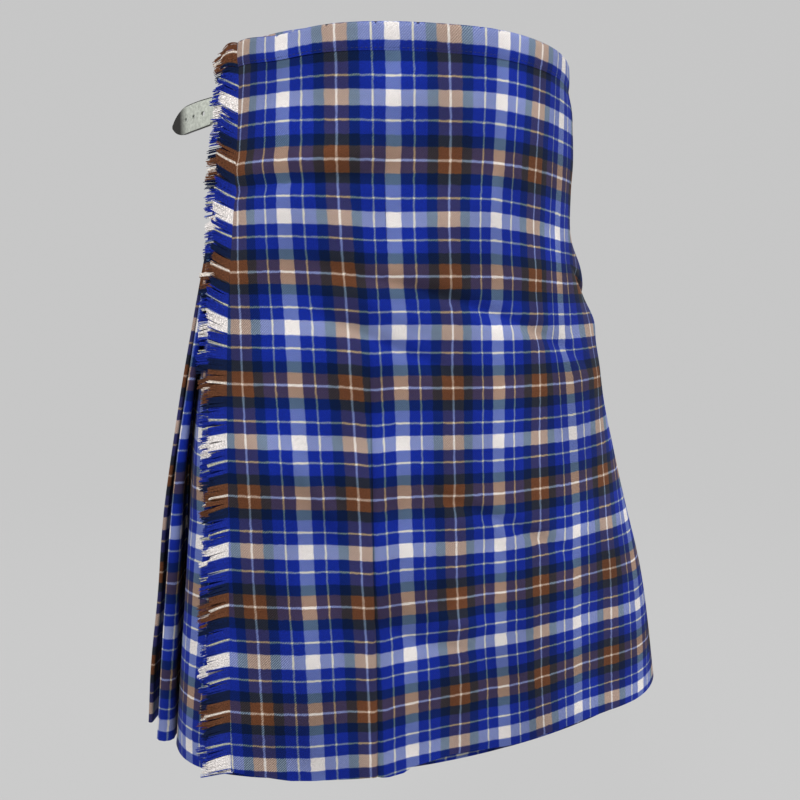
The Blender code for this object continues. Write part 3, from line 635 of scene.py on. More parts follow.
def apronGrid():
    points, uvs, slit = [], [], []
    room = form["layerRoom"]
    for down in spacedOut(0.0, form["length"], apron["rows"], [apron["rowsCrowd"]]):
        ring = Ring(down)
        edge, fold = ring.at(layer("apronEdge", down)) + edgeIn(down), ring.at(layer("apronFold", down))
        crease = stripeAlong(ring) + pressedAt("side", down / mm) * mm
        along = spacedOut(edge, fold, apron["columns"], [(crease, *apron["creaseCrowd"])])
        out, drop = apronRelief(ring, along)
        # round the turned edge and back under it
        cosines, sines = arc(6, 90, -90)
        nose = along[-1] + 0.5 * room * cosines[1:], out[-1] - 0.5 * room * (1 - sines[1:])
        back = np.linspace(0, 1, 9)[1:]
        under = fold - layer("flap", down) * mm * back
        flap = np.interp(under, along, out) - room - apron["flapSinks"] * back
        places = np.concatenate([along, nose[0], under])
        outs = np.concatenate([out, nose[1], flap])
        rise = hemRise(ring, along)
        drop, rise = [np.concatenate([sag, np.full(len(nose[0]), sag[-1]), np.interp(under, along, sag)])
                      for sag in (drop, rise)]
        row = ring.points(places, outs, drop - rise)
        points.append(row)
        measured = np.concatenate([along, along[-1] + 0.5 * room * np.linspace(0, math.pi, 6)[1:],
                                   along[-1] + 0.5 * math.pi * room + layer("flap", down) * mm * back])
        laid = tartanPlace(ring, measured)
        laid[:, 1] -= rise
        uvs.append(laid)
        middle = ring.at(apron["slitTurn"])
        slit.append((np.abs(places - middle) < apron["slitHalfWide"] * mm) & (np.arange(len(places)) < len(along))
                    & (np.abs(row[:, 2]) < apron["slitHalfHigh"] * mm))
    return np.array(points), np.array(uvs), np.array(slit)[:-1, :-1]


apronPoints, apronUvs, slitCells = apronGrid()
overApron = clothShell("overApron", apronPoints, apronUvs, apron["thick"], wool, slitCells)
dress(overApron, "tartan_wool", "over_apron")
print("over-apron made")

# the pleated back: knife pleats, sewn flat to the hip and loose below it
pleats = {
    "count": 15, "firstTurn": -91, "tail": 3 * mm,
    "sewnTo": 180 * mm,                    # down from the top edge
    "sway": 2.2 * mm, "swayTurn": 2.3, "belly": 0.62,
    "shown": 27.0,                         # mm of cloth that shows of each at the waist, and each hides one sett
    "firstStripe": 4.0,                    # mm round from a white stripe to the first pleat's edge
    "firstHides": 15.0,                    # mm more that the first pleat hides
    "firstRoll": 6.5 * mm,                 # how far its soft edge rolls at the hem
    "rounder": 0.35,                       # and how much rounder the other edges are there
    "stands": (0.4, 0.62, 0.8, 0.9, 1.0),  # how much of the flare the first pleats have
    "rows": 132, "faceSteps": 7, "noseSteps": 6, "returnSteps": 3, "valleySteps": 4,
    "thick": 1.2 * mm,
    # how unevenly the edges run and the faces stand out, over how many mm down, and the turn from each to the next
    "stray": 1.8 * mm, "strayLong": 90, "strayTurn": 1.9,
    "ripple": 0.8 * mm, "rippleLong": 23, "rippleTurn": 2.6,
}

# the under-apron: the panel beneath, from the first pleat's root to inside the left side
underApron = {
    "rows": 120, "columns": 150, "endTurn": 70, "gap": 0.3 * mm,
    "thick": 1.2 * mm,
    # mm down, and mm that its stripes lie round from the over-apron's
    "shiftDown": (0, 300, 400, 500, 590), "shift": (20, 20, 12, 26, 39),
    "hollow": 22.0, "hollowFrom": 75.0, "hollowTo": 20.0,       # mm that it draws in beside the first pleat
    "creases": (
        (10, -1.0, ((-150, 330), (-156, 450), (-150, 640))),
        (9, 0.8, ((-110, 300), (-104, 450), (-112, 640))),
        (11, -0.9, ((-40, 340), (-46, 450), (-40, 640))),
        (11, 0.9, ((20, 320), (26, 450), (18, 640))),
        (10, -0.8, ((80, 350), (84, 480), (92, 640))),
        (8, 0.5, ((-80, 150), (-30, 170), (30, 160))),
    ),
    "wobble": 0.25 * mm,
    "pressedFlat": 0.6,      # how much of its relief is left under the over-apron
}


def loosened(down):
    # how free the pleats hang: not at all to the hip, and wholly at the hem
    return np.clip((down - pleats["sewnTo"]) / (form["length"] - pleats["sewnTo"]), 0, 1)


def pleatEdges(ring):
    return np.linspace(ring.at(pleats["firstTurn"]), ring.at(layer("apronFold", ring.down) - 360),
                       pleats["count"] + 1)


def firstValley(ring):
    return ring.at(pleats["firstTurn"]) - layer("firstUnder", ring.down) * mm


def drawnIn(down, away):
    # the under-apron and the first pleat's root hang further in, away metres from that root
    start, end = underApron["hollowFrom"], underApron["hollowTo"]
    share = np.clip((start - away / mm) / (start - end), 0, 1)
    return underApron["hollow"] * mm * loosened(down) ** 2 * share * share * (3 - 2 * share)


def underApronGrid():
    points, uvs = [], []
    for down in np.linspace(0.0, form["length"], underApron["rows"]):
        ring = Ring(down)
        along = np.linspace(firstValley(ring) + pleats["tail"] + underApron["gap"], ring.at(underApron["endTurn"]),
                            underApron["columns"])
        side, depth = (along - stripeAlong(ring)) / mm, down / mm
        out = wobble(side, depth, underApron["wobble"], 2.0)
        for wide, rise, line in underApron["creases"]:
            out = out + creaseRise(side, depth, wide, rise, line)
        inside = layer("underIn", down) * mm + drawnIn(down, along - firstValley(ring))
        points.append(ring.points(along, out * underApron["pressedFlat"] - inside))
        shift = np.interp(depth, underApron["shiftDown"], underApron["shift"])
        uvs.append(tartanPlace(ring, along) + np.array([shift * mm, 0]))
    return np.array(points), np.array(uvs)


def pleatStand(ring, number):
    share = number / pleats["count"]
    stands = pleats["stands"][min(number, len(pleats["stands"]) - 1)]
    return layer("flare", ring.down) * mm * max(1 - share, 0) ** 0.7 * stands


def pleatSection(ring):
    depth, loose, edges = ring.down / mm, loosened(ring.down), pleatEdges(ring)
    pitch = edges[0] - edges[1]
    under, room = layer("pleatUnder", ring.down) * mm, layer("pleatRoom", ring.down) * mm
    fold, half = form["layerRoom"], 0.5 * form["layerRoom"]
    inside, valley = -layer("underIn", ring.down) * mm - drawnIn(ring.down, 0.0), firstValley(ring)
    along, out, side, start = [], [], [], pleats["firstStripe"]

    def add(places, outs, sides):
        along.extend(places)
        out.extend(outs)
        side.extend(sides)

    back = np.linspace(1, 0, 3)
    rootSide = start + 2 * (edges[0] - valley) / mm
    add(valley + pleats["tail"] * back, np.full(3, inside), rootSide + 2 + pleats["tail"] / mm * back)
    cosines, sines = arc(pleats["valleySteps"], 270, 90)
    add(valley + half * cosines[1:], inside + half + half * sines[1:], np.full(len(cosines) - 1, rootSide))
    for number in range(pleats["count"]):
        stand = pleatStand(ring, number)
        stand += pleats["sway"] * math.sin(pleats["swayTurn"] * number) * (ring.down / form["length"]) ** 2
        ripple = math.sin(depth / pleats["rippleLong"] + pleats["rippleTurn"] * number)
        stand += pleats["ripple"] * loose * ripple * min(number, 1)
        after = pleatStand(ring, number + 1) if number + 1 < pleats["count"] else 0.0
        last = number == pleats["count"] - 1
        reach = edges[number + 1] - (0 if last else under)
        stray = math.sin(pleats["strayTurn"] * number + depth / pleats["strayLong"])
        edge = edges[number] + pleats["stray"] * loose * stray
        nose = half * (1 + pleats["rounder"] * loose) if number else half + pleats["firstRoll"] * loose
        # forward from the root under the pleat, to its edge
        fresh = np.linspace(0, 1, pleats["returnSteps"] + 2)[1:-1]
        rootAlong, rootOut, rootSide = along[-1], out[-1], side[-1]
        add(rootAlong + (edge - nose - rootAlong) * fresh, rootOut + (stand - 2 * nose - rootOut) * fresh,
            rootSide + (start + math.pi * nose / mm - rootSide) * fresh)
        cosines, sines = arc(pleats["noseSteps"], -90, 90)
        add(edge - nose + nose * cosines, stand - nose + nose * sines,
            start + nose / mm * math.pi * np.linspace(1, 0, pleats["noseSteps"]))
        # back over its face to where the next pleat covers it
        t = np.linspace(0, 1, pleats["faceSteps"] + 1)[1:]
        middle = 0.5 * pitch / (edges[number] - reach)
        bend = math.log(pleats["belly"]) / math.log(1 - middle) if middle < 1 else 1.0
        end = after - 2 * fold - room
        add(edge - nose + (reach - edge + nose) * t, stand + (end - stand) * (1 - (1 - t) ** bend),
            start - (edge - reach) / mm * t)
        if not last:
            cosines, sines = arc(pleats["valleySteps"], 270, 90)
            add(reach + half * cosines[1:], end + half + half * sines[1:],
                start - (edge - reach) / mm - half / mm * math.pi * np.linspace(0, 1, pleats["valleySteps"])[1:])
        start -= pleats["shown"] + tartan["sett"] + (0 if number else pleats["firstHides"])
    return np.array(along), np.array(out), np.array(side)


def pleatGrid():
    points, uvs = [], []
    for down in np.linspace(0.0, form["length"], pleats["rows"]):
        ring = Ring(down)
        along, out, side = pleatSection(ring)
        points.append(ring.points(along, out))
        place = tartanPlace(ring, along)
        place[:, 0] = side * mm
        uvs.append(place)
    return np.array(points), np.array(uvs)


underPoints, underUvs = underApronGrid()
underCloth = clothShell("underApron", underPoints, underUvs, underApron["thick"], wool)
dress(underCloth, "tartan_wool", "under_apron")
pleatPoints, pleatUvs = pleatGrid()
pleatedBack = clothShell("pleatedBack", pleatPoints, pleatUvs, pleats["thick"], wool)
dress(pleatedBack, "tartan_wool", "pleated_back")
print("under-apron and pleats made")

# the waistband: a strip of the same cloth folded over the top edge, one and a half times round
waistband = {
    "high": 21.6, "thick": 0.8 * mm, "step": 1.3, "lap": 350,
    "whiteAt": 6.0, "stretch": 0.86,           # mm below the top edge, the middle of the strip's white row
    "turns": (-82, -74, -66, 82, 90, 100, 262, 270.5, 277, 430),
    "outer": (1.8, 1.8, 1.8, 1.8, 1.8, 2.5, 2.7, 2.4, -6.4, -6.4),
    "inner": (-4.9, -4.9, -2.1, -2.1, -10.9, -11.3, -11.3, -10.9, -10.7, -10.7),
    "over": -0.4,
    # small nicks in the folded edge, in mm and degrees
    "notches": 40, "notchDeep": 1.6, "notchHalfWide": 0.6, "notchDown": 0.12, "seed": 12,
    "ripple": 0.12, "rippleLong": 4.7,         # mm that it stands out and in, over how many degrees
    "tartanShift": 0.4,                        # mm that its stripes lie round from the cloth's
    # across the strip: mm down (as a share of its height), 0 outside to 1 inside, mm outward, mm down
    "profile": ((1, 0, -1.2, 0), (0.96, 0, -1.1, 0), (0.9, 0, -0.8, 0), (0.8, 0, -0.35, 0),
                (0.6, 0, 0.0, 0), (0.4, 0, 0.15, 0), (0.2, 0, 0.1, 0), (0.07, 0, 0.0, 0), (0, 0.08, 0, 0.25),
                (0, 0.3, 0, -0.1), (0, 0.5, 0, -0.2), (0, 0.7, 0, -0.1), (0, 0.92, 0, 0.25), (0.1, 1, 0, 0),
                (0.4, 1, -0.2, 0), (0.7, 1, -0.2, 0), (1, 1, 0, 0)),
}


def bandPlace(ring, turn):
    if turn < 0:
        return ring.at(max(turn, layer("apronEdge", ring.down)))
    return ring.at(turn if turn < waistband["lap"] else turn - 360)


def bandRipple(turn):
    return waistband["ripple"] * math.sin(turn / waistband["rippleLong"])


def waistbandGrid():
    top, bottom = Ring(0.0), Ring(waistband["high"] * mm)
    points, uvs = [], []
    share, inward, push, fall = np.array(waistband["profile"]).T
    turns, count, half = waistband["turns"], waistband["notches"], waistband["notchHalfWide"]
    even = np.arange(turns[0], turns[-1], waistband["step"])
    rng = np.random.default_rng(waistband["seed"])
    nicks = turns[0] + (turns[-1] - turns[0]) / count * (np.arange(count) + rng.uniform(0.1, 0.9, count))
    deep = waistband["notchDeep"] * rng.uniform(0.3, 1.2, count)
    for turn in np.unique(np.concatenate([even, turns, nicks - half, nicks, nicks + half])):
        nick = (deep * np.clip(1 - np.abs(turn - nicks) / half, 0, 1)).sum()
        outer = np.interp(turn, turns, waistband["outer"])
        inner = np.interp(turn, turns, waistband["inner"])
        high, low = bandPlace(top, turn), bandPlace(bottom, turn)
        outs = (outer + (inner - outer) * inward + push + bandRipple(turn)) * mm
        upper = top.points(np.full(len(outs), high), outs)
        lower = bottom.points(np.full(len(outs), low), outs)
        row = upper + (lower - upper) * share[:, None]
        sunk = nick * np.exp(-(share / waistband["notchDown"]) ** 2)
        row[:, 2] += (waistband["over"] * (1 - share) - fall - sunk) * mm
        points.append(row)
        sides = [tartanPlace(ring, np.array([place]))[0, 0] for ring, place in ((top, high), (bottom, low))]
        side = sides[0] + (sides[1] - sides[0]) * share + waistband["tartanShift"] * mm
        across = share * waistband["high"] * waistband["stretch"]
        across = np.where(inward > 0.5, -across - 3, across)
        uvs.append(np.stack([side, (across - waistband["whiteAt"]) * mm], axis=-1))
    return np.array(points)[:, ::-1], np.array(uvs)[:, ::-1]


bandPoints, bandUvs = waistbandGrid()
band = clothShell("waistStrip", bandPoints, bandUvs, waistband["thick"], wool)
dress(band, "tartan_wool", "waistband")
print("waistband made")


def newTree(name, *sockets):
    # a geometry tree with its inputs named: (name, kind, value)
    tree = bpy.data.node_groups.new(name, "GeometryNodeTree")
    tree.interface.new_socket("Geometry", in_out="INPUT", socket_type="NodeSocketGeometry")
    for label, kind, value in sockets:
        made = tree.interface.new_socket(label, in_out="INPUT", socket_type="NodeSocket" + kind)
        if value is not None:
            made.default_value = value
    tree.interface.new_socket("Geometry", in_out="OUTPUT", socket_type="NodeSocketGeometry")
    return tree, addNode(tree, "NodeGroupInput").outputs


def closeTree(tree, geometry, material):
    real = addNode(tree, "GeometryNodeRealizeInstances", {0: geometry})
    finish = addNode(tree, "GeometryNodeSetMaterial", {0: real, "Material": material})
    addNode(tree, "NodeGroupOutput", {0: finish})


def grow(name, guide, tree, values, material, sharp=50):
    # runs a geometry tree on a guide and keeps what it makes as a plain mesh
    piece = newObject(name, guide)
    step = piece.modifiers.new("nodes", "NODES")
    step.node_group = tree
    for item in tree.interface.items_tree:
        if item.in_out == "INPUT" and item.name in values:
            step[item.identifier] = values[item.name]
        elif item.in_out == "INPUT" and item.name == "Material":
            step[item.identifier] = material
    settle(piece, sharp)
    if not len(piece.data.polygons):
        raise RuntimeError(name + " has no faces")
    return piece


def fringeTree():
    # loose weft threads that start along a guide's root line and gather into uneven tufts
    tree, given = newTree("loose weft threads", ("Threads", "Int", 900), ("Tufts", "Float", 80.0),
                          ("Gather", "Float", 0.7), ("Thread Radius", "Float", 0.0003),
                          ("Stray", "Float", 0.001), ("Seed", "Int", 1), ("Material", "Material", None))
    index = addNode(tree, "GeometryNodeInputIndex")
    points = addNode(tree, "GeometryNodePoints", {"Count": given["Threads"]})
    jitter = addNode(tree, "FunctionNodeRandomValue", {"ID": index, "Seed": given["Seed"]}, data_type="FLOAT")
    place = addNode(tree, "ShaderNodeMath", {0: index, 1: jitter}, operation="ADD")
    place = addNode(tree, "ShaderNodeMath", {0: place, 1: given["Threads"]}, operation="DIVIDE")
    kept = addNode(tree, "GeometryNodeStoreNamedAttribute", {0: points, "Name": "place", "Value": place},
                   data_type="FLOAT", domain="POINT")
    line = addNode(tree, "GeometryNodeCurvePrimitiveLine", {"End": (1.0, 0.0, 0.0)})
    line = addNode(tree, "GeometryNodeResampleCurve", {0: line, "Count": 7})
    each = addNode(tree, "GeometryNodeInstanceOnPoints", {"Points": kept, "Instance": line})
    threads = addNode(tree, "GeometryNodeRealizeInstances", {0: each})
    where = addNode(tree, "GeometryNodeInputNamedAttribute", {"Name": "place"}, data_type="FLOAT")
    t = addNode(tree, "GeometryNodeSplineParameter")
    # the tufts are of uneven width, and each is counted in cells along the guide
    drift = addNode(tree, "ShaderNodeMath", {0: where, 1: 37.0}, operation="MULTIPLY")
    drift = addNode(tree, "ShaderNodeTexNoise", {"W": drift, "Scale": 1.0}, noise_dimensions="1D")
    drift = addNode(tree, "ShaderNodeMath", {0: drift, 1: 3.0}, operation="MULTIPLY")
    counted = addNode(tree, "ShaderNodeMath", {0: where, 1: given["Tufts"]}, operation="MULTIPLY")
    counted = addNode(tree, "ShaderNodeMath", {0: counted, 1: drift}, operation="ADD")
    cell = addNode(tree, "ShaderNodeMath", {0: counted}, operation="FLOOR")
    off = addNode(tree, "ShaderNodeMath", {0: counted, 1: cell}, operation="SUBTRACT")
    off = addNode(tree, "ShaderNodeMath", {0: off, 1: 0.5}, operation="SUBTRACT")
    # what each tuft and each thread has of its own: what it goes by, a step of the seed, least and most
    thread, other = [addNode(tree, "ShaderNodeMath", {0: where, 1: many}, operation="MULTIPLY")
                     for many in (99991.0, 77777.0)]
    own = []
    for by, step, least, most in ((cell, 9, 0.3, 1.3), (cell, 0, 0.86, 1.0), (thread, 0, 0.9, 1.0),
                                  (other, 0, (-1, -1, -1), (1, 1, 1)), (cell, 5, (-1, -1, -1.6), (1, 1, 1.6))):
        seed = addNode(tree, "ShaderNodeMath", {0: given["Seed"], 1: step}, operation="ADD")
        own.append(addNode(tree, "FunctionNodeRandomValue", {"ID": by, "Seed": seed, "Min": least, "Max": most},
                           data_type="FLOAT_VECTOR" if isinstance(least, tuple) else "FLOAT"))
    tight, tuftLong, threadLong, threadWay, tuftWay = own
    # each thread bends towards its tuft's middle
    pull = addNode(tree, "ShaderNodeMath", {0: given["Gather"], 1: tight}, operation="MULTIPLY")
    pull = addNode(tree, "ShaderNodeMath", {0: off, 1: pull}, operation="MULTIPLY")
    grows = addNode(tree, "ShaderNodeMath", {0: t, 1: 0.8}, operation="POWER")
    pull = addNode(tree, "ShaderNodeMath", {0: pull, 1: grows}, operation="MULTIPLY")
    pull = addNode(tree, "ShaderNodeMath", {0: pull, 1: given["Tufts"]}, operation="DIVIDE")
    row = addNode(tree, "ShaderNodeMath", {0: where, 1: pull}, operation="SUBTRACT")
    row = addNode(tree, "ShaderNodeClamp", {0: row, "Min": 0.001, "Max": 0.999})
    reach = addNode(tree, "ShaderNodeMath", {0: tuftLong, 1: threadLong}, operation="MULTIPLY")
    reach = addNode(tree, "ShaderNodeMath", {0: t, 1: reach}, operation="MULTIPLY")
    spotUv = addNode(tree, "ShaderNodeCombineXYZ", {0: reach, 1: row})
    # its place on the guide, and the tartan's place there
    guideUv, clothUv = [addNode(tree, "GeometryNodeInputNamedAttribute", {"Name": name}, data_type="FLOAT_VECTOR")
                        for name in ("guide", "cloth")]
    position = addNode(tree, "GeometryNodeInputPosition")
    spot, weave = [addNode(tree, "GeometryNodeSampleUVSurface",
                           {0: given["Geometry"], "Value": value, "UV Map": guideUv, "Sample UV": spotUv},
                           data_type="FLOAT_VECTOR") for value in (position, clothUv)]
    bend = addNode(tree, "ShaderNodeMath", {0: t, 1: t}, operation="MULTIPLY")
    bend = addNode(tree, "ShaderNodeMath", {0: bend, 1: given["Stray"]}, operation="MULTIPLY")
    move = addNode(tree, "ShaderNodeVectorMath", {0: threadWay, 1: tuftWay}, operation="ADD")
    move = addNode(tree, "ShaderNodeVectorMath", {0: move, "Scale": bend}, operation="SCALE")
    moved = addNode(tree, "ShaderNodeVectorMath", {0: spot, 1: move}, operation="ADD")
    placed = addNode(tree, "GeometryNodeSetPosition", {0: threads, "Position": moved})
    dyed = addNode(tree, "GeometryNodeStoreNamedAttribute", {0: placed, "Name": "weave", "Value": weave},
                   data_type="FLOAT_VECTOR", domain="POINT")
    # three-sided threads that get thinner to their ends
    thin = addNode(tree, "ShaderNodeMapRange", {0: t, "To Min": 1.0, "To Max": 0.7})
    thin = addNode(tree, "ShaderNodeMath", {0: thin, 1: given["Thread Radius"]}, operation="MULTIPLY")
    ring = addNode(tree, "GeometryNodeCurvePrimitiveCircle", {"Resolution": 3, "Radius": 1.0})
    tubes = addNode(tree, "GeometryNodeCurveToMesh", {0: dyed, "Profile Curve": ring, "Scale": thin, "Fill Caps": True})
    dye = addNode(tree, "GeometryNodeInputNamedAttribute", {"Name": "weave"}, data_type="FLOAT_VECTOR")
    mapped = addNode(tree, "GeometryNodeStoreNamedAttribute", {0: tubes, "Name": "cloth", "Value": dye},
                     data_type="FLOAT2", domain="CORNER")
    closeTree(tree, mapped, given["Material"])
    return tree


# the fringe: the over-apron's free edge and the strip under it, ravelled into loose weft threads
fringe = {
    "outer": {"inside": 1.6, "past": 1.2, "long": 11.0, "moreLift": 5, "threads": 2600, "tufts": 96.0,
              "gather": 0.3, "stray": 0.8 * mm, "seed": 3, "raised": 1.0, "low": 0.0, "hangs": 0.0},
    "inner": {"inside": 3.4, "past": 3.2, "long": 18.5, "moreLift": 0, "threads": 2200, "tufts": 70.0,
              "gather": 0.36, "stray": 1.2 * mm, "seed": 8, "raised": 0.25, "low": 6.0, "hangs": 5.0},
    "rows": 160, "steps": 7, "starts": 2 * mm,      # its grid, and how far down it starts
    "hangsFrom": (230, 330),                        # mm down between which a strip comes to hang lower
    # mm down, mm that the threads' ends rise, and mm more that the last of them curls
    "way": ((0, 9, -15), (26, 10, -11), (40, 11, -3), (60, 11, 0), (120, 11, 0), (200, 10, 0), (235, 9, 0),
            (260, 3, 0), (290, 0, 0), (330, -4, 0), (400, -6, 0), (616, -6, 0)),
    "radius": 0.42 * mm,
}


def fringeGuide(name, size):
    points, uvs, weave = [], [], []
    way = list(zip(*fringe["way"]))
    end = form["length"] - apron["hemUp"][0] * mm
    for number, down in enumerate(np.linspace(fringe["starts"], end, fringe["rows"])):
        ring = Ring(down)
        edge = ring.at(layer("apronEdge", down)) + edgeIn(down)
        lift = math.radians(layer("fringeLift", down) + size["moreLift"])
        root = edge + (3 - size["past"]) * mm
        long = (size["long"] * layer("fringeLong", down) + 2) * mm + 0.8 * edgeIn(down)
        t = np.linspace(0, 1, fringe["steps"])
        # flat under the apron's edge at first, and turned outward past it
        turned = lift * np.clip(t * 3 - 0.2, 0, 1)
        ahead = np.concatenate([[0], np.cumsum(np.cos(turned[1:]) * np.diff(t))]) * (long + 3 * mm)
        out = np.concatenate([[0], np.cumsum(np.sin(turned[1:]) * np.diff(t))]) * (long + 3 * mm)
        rise, curl = [float(np.interp(down / mm, way[0], values)) * size["raised"] for values in way[1:]]
        # the inner strip hangs lower once it is past the hip
        hangs = size["hangs"] * float(np.interp(down / mm, fringe["hangsFrom"], (0, 1)))
        drop = (hangs - (rise - size["low"]) * t ** 1.3 - curl * t ** 3) * mm
        points.append(ring.points(root - ahead, out - size["inside"] * mm, drop))
        share = number / (fringe["rows"] - 1)
        uvs.append(np.stack([t, np.full(len(t), share)], axis=-1))
        weave.append(tartanPlace(ring, root - ahead))
    mesh = gridMesh(name, np.array(points), np.array(uvs), "guide")
    addUvs(mesh, "cloth", np.array(weave))
    return mesh


threadsTree = fringeTree()
for label, node in (("outer", "fringe_outer"), ("inner", "fringe_inner")):
    size = fringe[label]
    guide = fringeGuide(label + "FringeGuide", size)
    tufts = grow(label + "Fringe", guide, threadsTree,
                 {"Threads": size["threads"], "Tufts": size["tufts"], "Gather": size["gather"],
                  "Thread Radius": fringe["radius"], "Stray": size["stray"], "Seed": size["seed"]}, fringeWool, 80)
    dress(tufts, "fringe_wool", node)
    print(label, "fringe has", len(tufts.data.polygons), "faces")

# straps: two bridle leather straps through nickel buckles
strap = {
    "wide": 25 * mm, "thick": 2.2 * mm,
    "tip": 25 * mm, "pointed": 0.62, "blunt": 0.12,      # how long the tip is, its curve, and the least of its width
    "sides": 0.22, "faces": 0.5,                         # how square its section is, less for a smaller power
    "holes": 5, "firstHole": 22 * mm, "holePitch": 13 * mm, "holeRadius": 2.1 * mm,
    "steps": 120, "round": 24,
    "rightUnder": ((30, -5.6), (14, -5.6), (0, -5.7), (-8, -5.6), (-19, -3.0)),
    "rightEnd": ((-186, 50, -1), (-195, 70, -3), (-204, 88, -7)),
    "leftThrough": ((-70, -5.6), (-40, -5.6), (-12, -5.6), (-5, -3.4), (4, 2.4), (14, 3.0)),
    "leftEnd": ((22, 10.5, 0), (45, 14, 1)),
}
buckle = {
    "rightTurn": -93, "leftTurn": 106,
    "bar": 1.5 * mm, "long": 25 * mm, "wide": 31 * mm, "out": 5.9 * mm, "corner": 4 * mm,
    "prong": 1.0 * mm, "past": 2.5 * mm, "gap": 0.3 * mm, "play": 0.5 * mm,
    "tabThick": 1.6 * mm, "tabLong": 34 * mm, "tabWide": 23 * mm,
    "notchWide": 7 * mm, "notchLong": 2.2,               # the tab's notch for the prong, long in bends of the tab
}


def smoothLine(stations, count):
    # a curve through rows of numbers, read at even steps of their first three
    padded = np.vstack([2 * stations[0] - stations[1], stations, 2 * stations[-1] - stations[-2]])
    dense = []
    for number in range(1, len(padded) - 2):
        before, start, end, after = padded[number - 1:number + 3]
        for t in np.linspace(0, 1, 20, endpoint=False):
            dense.append(0.5 * (2 * start + (end - before) * t + (2 * before - 5 * start + 4 * end - after) * t * t
                                + (3 * start - before - 3 * end + after) * t ** 3))
    dense = np.array(dense + [stations[-1]])
    lengths = np.concatenate([[0.0], np.cumsum(np.linalg.norm(np.diff(dense[:, :3], axis=0), axis=1))])
    evenly = np.linspace(0, lengths[-1], count)
    return np.stack([np.interp(evenly, lengths, dense[:, k]) for k in range(dense.shape[1])], axis=1), lengths[-1]


def strapStation(turn, step, out):
    # a place of a strap on the hip, with its upward direction, which leans as the cloth does
    high, low = Ring(form["top"] - 0.5 * strap["wide"]), Ring(form["top"] + 0.5 * strap["wide"])
    upper = high.point(high.at(turn) + step, out)
    lower = low.point(low.at(turn) + step, out)
    middle = 0.5 * (upper + lower)
    middle.z = 0.0
    return middle, (upper - lower).normalized()


class BuckleSeat:
    # a flat frame of reference at a buckle: back along the hip, outward, and up

    def __init__(self, turn):
        self.side = math.copysign(1, turn)
        self.here, self.up = strapStation(turn, 0, 0)
        behind = strapStation(turn, self.side * buckle["long"], 0)[0]
        self.back = (behind - self.here).normalized()
        self.up = (self.up - self.up.project(self.back)).normalized()
        self.out = self.back.cross(self.up) * self.side

    def place(self, back, out, up):
        return self.here + self.back * back + self.out * out + self.up * up


def strapHalfWide(toTip):
    share = min(max(toTip / strap["tip"], 0.0), 1.0)
    return 0.5 * strap["wide"] * max((1 - (1 - share) ** 2) ** strap["pointed"], strap["blunt"])


def overBuckle(seat):
    under = buckle["out"] - buckle["bar"] - 2 * buckle["gap"] - 0.5 * strap["thick"]
    over = buckle["out"] + buckle["bar"] + buckle["tabThick"] + 4 * buckle["gap"] + 0.5 * strap["thick"]
    places = ((-6 * mm, under), (1 * mm, under), (0.5 * buckle["long"], 0.5 * (under + over)),
              (buckle["long"] - 1 * mm, over), (buckle["long"] + 7 * mm, over + buckle["gap"]))
    return [(seat.place(back, out, 0), seat.up) for back, out in places]


def strapLine(path):
    line, length = smoothLine(np.array([(*point, *up) for point, up in path]), strap["steps"] + 1)
    middles, ups = line[:, :3], line[:, 3:]
    ahead = np.gradient(middles, axis=0)
    across = np.cross(ahead, ups)
    across /= np.linalg.norm(across, axis=1)[:, None]
    return middles, ups, across, length


def makeStrap(name, path, material, seat):
    middles, ups, across, length = strapLine(path)
    turns = np.linspace(0, 2 * math.pi, strap["round"], endpoint=False)
    wide = np.sign(np.cos(turns)) * np.abs(np.cos(turns)) ** strap["sides"]
    deep = np.sign(np.sin(turns)) * np.abs(np.sin(turns)) ** strap["faces"]
    points, uvs = [], []
    for number in range(len(middles)):
        done = length * number / strap["steps"]
        half = strapHalfWide(length - done)
        points.append(middles[number] + ups[number] * (wide * half)[:, None]
                      + across[number] * (deep * 0.5 * strap["thick"])[:, None])
        uvs.append(np.stack([np.full(len(turns), done), wide * half], axis=-1))
    mesh = gridMesh(name, np.array(points), np.array(uvs), "strap", closed=True)
    work = bmesh.new()
    work.from_mesh(mesh)
    work.verts.ensure_lookup_table()
    uvLayer = work.loops.layers.uv["strap"]
    around = len(turns)
    for first in (0, len(work.verts) - around):
        cap = work.faces.new([work.verts[first + k] for k in range(around)])
        for loop in cap.loops:
            loop[uvLayer].uv = (0.0 if first == 0 else length, 0.0)
    bmesh.ops.recalc_face_normals(work, faces=work.faces)
    work.to_mesh(mesh)
    work.free()
    piece = addObject(name, mesh, material)
    cutters = []
    for number in range(strap["holes"]):
        place = strap["steps"] * (1 - (strap["firstHole"] + number * strap["holePitch"]) / length)
        low = int(place)
        middle = Vector(middles[low]).lerp(Vector(middles[low + 1]), place - low)
        cutters.append(addRod(f"{name}Hole{number}", middle, Vector(across[low]), strap["holeRadius"]))
    rod = [seat.place(back, buckle["out"] + up, 0) for back, up in prongRise()]
    cutters.append(wire(name + "ProngHole", rod, buckle["prong"] + buckle["play"], False, material))
    for cutter in cutters:
        step = piece.modifiers.new("hole", "BOOLEAN")
        step.operation, step.object, step.solver = "DIFFERENCE", cutter, "EXACT"
    settle(piece, 40)
    for cutter in cutters:
        bpy.data.objects.remove(cutter)
    return piece


def addRod(name, middle, direction, radius):
    mesh = bpy.data.meshes.new(name)
    work = bmesh.new()
    turned = Matrix.Translation(middle) @ direction.to_track_quat("Z", "Y").to_matrix().to_4x4()
    bmesh.ops.create_cone(work, cap_ends=True, segments=20, radius1=radius, radius2=radius,
                          depth=5 * strap["thick"], matrix=turned)
    work.to_mesh(mesh)
    work.free()
    return addObject(name, mesh, nickel)


